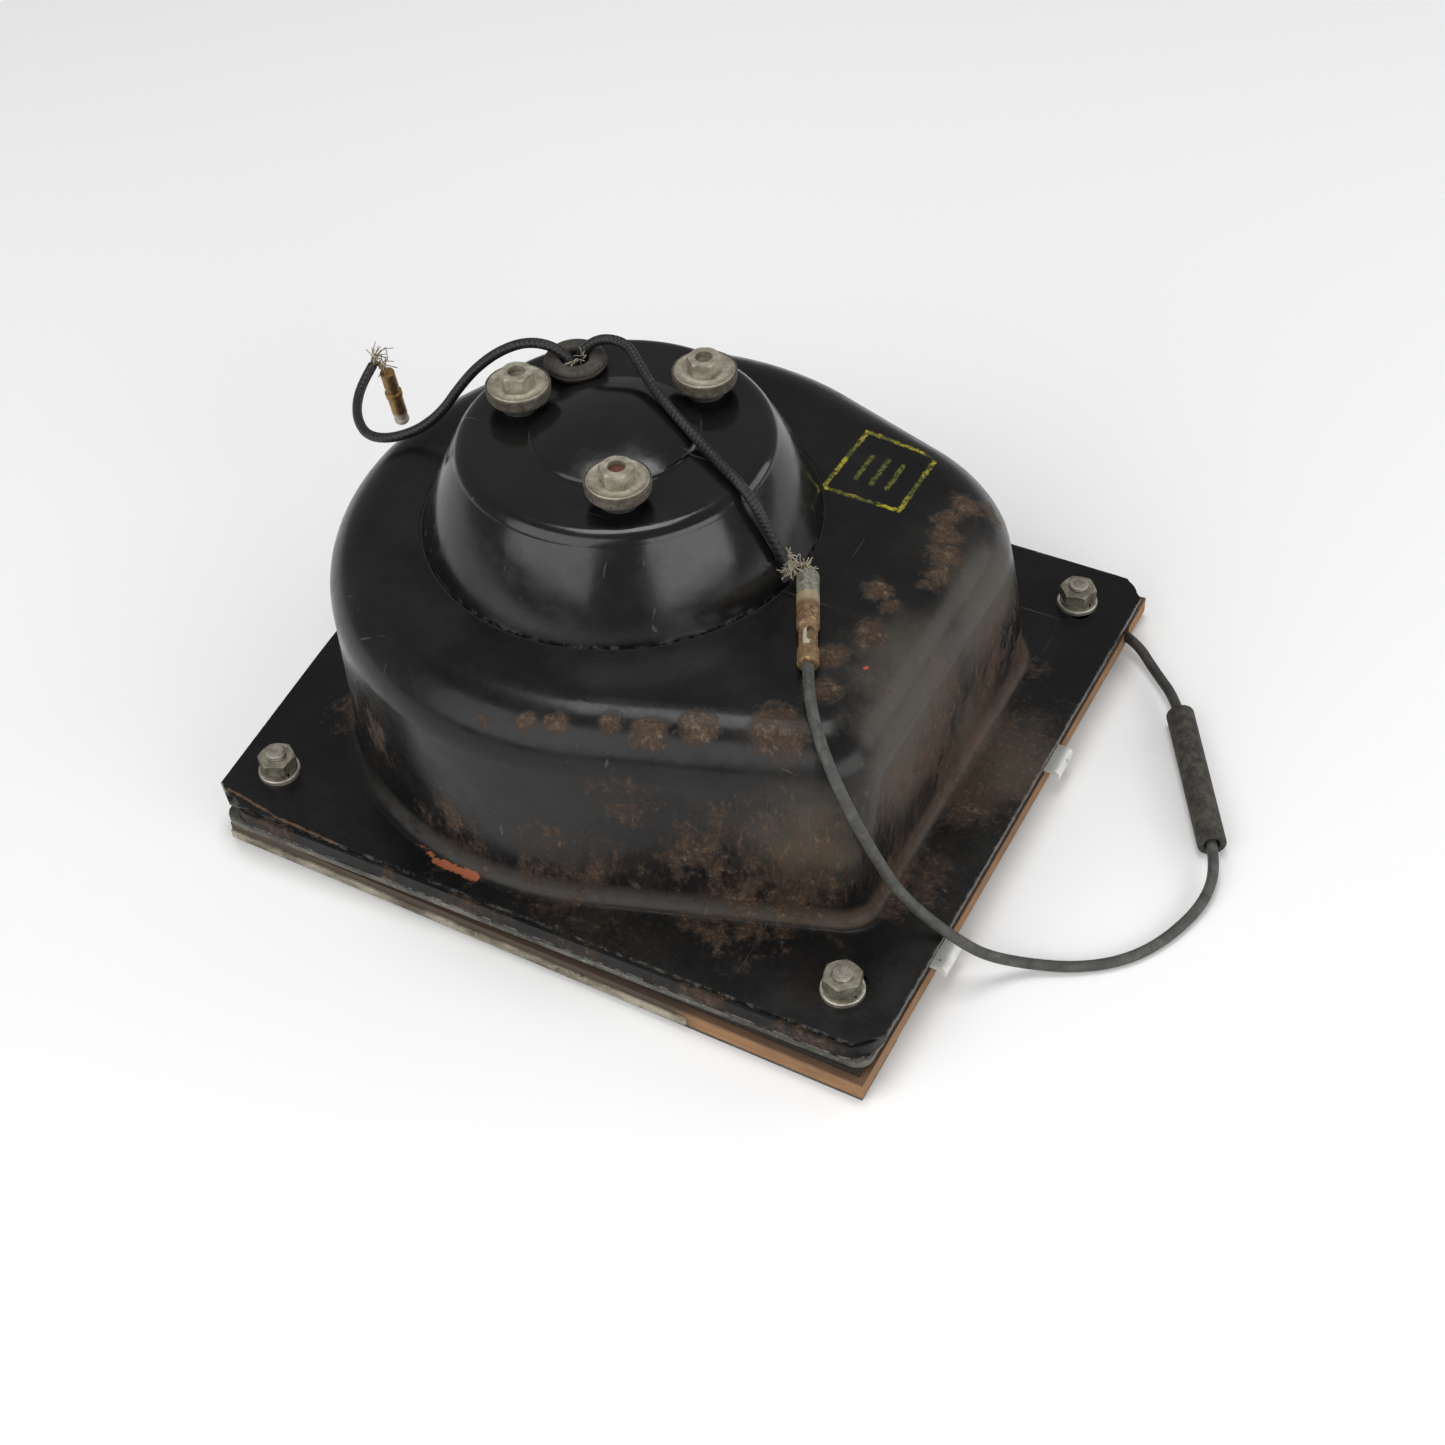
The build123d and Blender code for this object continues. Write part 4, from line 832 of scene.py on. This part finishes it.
braid_look = braid(
    "black_braid",
    (0.008, 0.008, 0.0085),
    (0.110, 0.104, 0.092),
    turns=460.0,
    bands=6 * math.pi,
)
left_cable = cable("left_cable", LEFT_ROUTE, LEAD_RADIUS, braid_look, "left_lead")
right_cable = cable("right_cable", RIGHT_ROUTE, LEAD_RADIUS, braid_look, "right_lead")
bridge_cable = cable("bridge_cable", BRIDGE_ROUTE, WIRE_RADIUS, grey_pvc, "bridge_wire")
return_cable = cable("return_cable", RETURN_ROUTE, WIRE_RADIUS, dark_pvc, "return_wire")


# ------------------------------------------------------------------ frayed yarns
yarn_look = rubber("loose_yarn", (0.26, 0.22, 0.155), (0.58, 0.52, 0.40), rough=0.85, size=1.0)


def frayed(name, tufts, radius, seed):
    """Loose yarns: each tuft is (root, direction, length, spread, how many)."""
    rng = random.Random(seed)

    def scatter(reach):
        return Vector([rng.uniform(-1, 1) for _ in range(3)]) * reach

    curve = new_curve(name, radius, 6, 1)
    for root, direction, length, spread, count in tufts:
        way = Vector(direction).normalized()
        for _ in range(count):
            lean = scatter(spread)
            tip_lean = lean + scatter(spread * 1.3)
            reach = length * rng.uniform(0.55, 1.0)
            start = Vector(root) + scatter(0.9)
            bend = start + (way + lean * 0.5) * reach * 0.5
            end = start + (way + tip_lean).normalized() * reach
            add_run_through(curve, (start, start.lerp(bend, 0.6), bend, end))
    return new_piece(name, curve, yarn_look)


left_fray = frayed(
    "left_fray",
    (
        ((-121.2, 26.0, 82.2), (-0.1, 0.6, 0.8), 7.5, 0.50, 16),
        ((-119.6, 27.4, 81.0), (0.4, 0.3, 0.5), 5.5, 0.6, 10),
        ((-119.2, 27.6, 80.6), (0.2, 0.1, -1.0), 4.0, 0.35, 12),
    ),
    radius=0.16,
    seed=3,
)
right_fray = frayed(
    "right_fray",
    (
        ((39.8, -10.6, 90.2), (0.3, 0.5, 0.2), 4.2, 0.6, 14),
        ((40.6, -10.0, 88.8), (0.6, 0.2, -0.7), 5.4, 0.5, 24),
        ((42.4, -7.2, 86.6), (0.8, 0.3, 0.4), 4.4, 0.6, 22),
        ((44.6, -6.4, 86.0), (0.3, -0.7, 0.3), 4.5, 0.55, 18),
        ((41.0, -9.6, 87.2), (-0.3, -0.6, -0.4), 5.0, 0.5, 12),
    ),
    radius=0.14,
    seed=5,
)
grommet_fray = frayed(
    "grommet_fray",
    (
        ((-41.0, 16.6, 113.4), (0.2, -0.4, 0.9), 3.4, 0.6, 12),
        ((-40.0, 20.4, 113.6), (0.4, 0.1, 0.8), 3.0, 0.6, 10),
    ),
    radius=0.13,
    seed=7,
)

# ------------------------------------------------------------------ studio
FLOOR_HALF = 6.0
floor_look = bpy.data.materials.new("studio_floor")
floor_look.use_nodes = True
floor_shader = floor_look.node_tree.nodes["Principled BSDF"]
floor_shader.inputs["Base Color"].default_value = (0.93, 0.93, 0.93, 1)
floor_shader.inputs["Roughness"].default_value = 0.85
floor_mesh = bpy.data.meshes.new("floor")
floor_corners = [(x * FLOOR_HALF, y * FLOOR_HALF, 0) for x, y in ((-1, -1), (1, -1), (1, 1), (-1, 1))]
floor_mesh.from_pydata(floor_corners, [], [(0, 1, 2, 3)])
floor_mesh.materials.append(floor_look)
floor = bpy.data.objects.new("floor", floor_mesh)
bpy.context.scene.collection.objects.link(floor)

world = bpy.data.worlds.new("studio")
world.use_nodes = True
background = world.node_tree.nodes["Background"]
background.inputs["Color"].default_value = (1.0, 1.0, 1.0, 1)
background.inputs["Strength"].default_value = 0.27
bpy.context.scene.world = world
bpy.context.scene.view_settings.view_transform = "Standard"


def softbox(name, place, wide, tall, power):
    """A rectangular lamp at a place in metres, aimed at the object."""
    lamp = bpy.data.lights.new(name, "AREA")
    lamp.shape = "RECTANGLE"
    lamp.size = wide
    lamp.size_y = tall
    lamp.energy = power
    lamp_object = bpy.data.objects.new(name, lamp)
    lamp_object.location = place
    lamp_object.rotation_euler = (LOOK_AT - Vector(place)).to_track_quat("-Z", "Y").to_euler()
    bpy.context.scene.collection.objects.link(lamp_object)


softbox("overhead", (-0.14, 0.24, 1.58), 0.72, 0.72, 9.0)
softbox("front_left", (-0.30, -1.04, 0.73), 1.35, 1.16, 11.0)
softbox("front_right", (1.15, -0.42, 0.46), 1.15, 0.62, 6.4)
softbox("back_right", (0.95, 0.80, 0.50), 0.80, 0.60, 3.4)
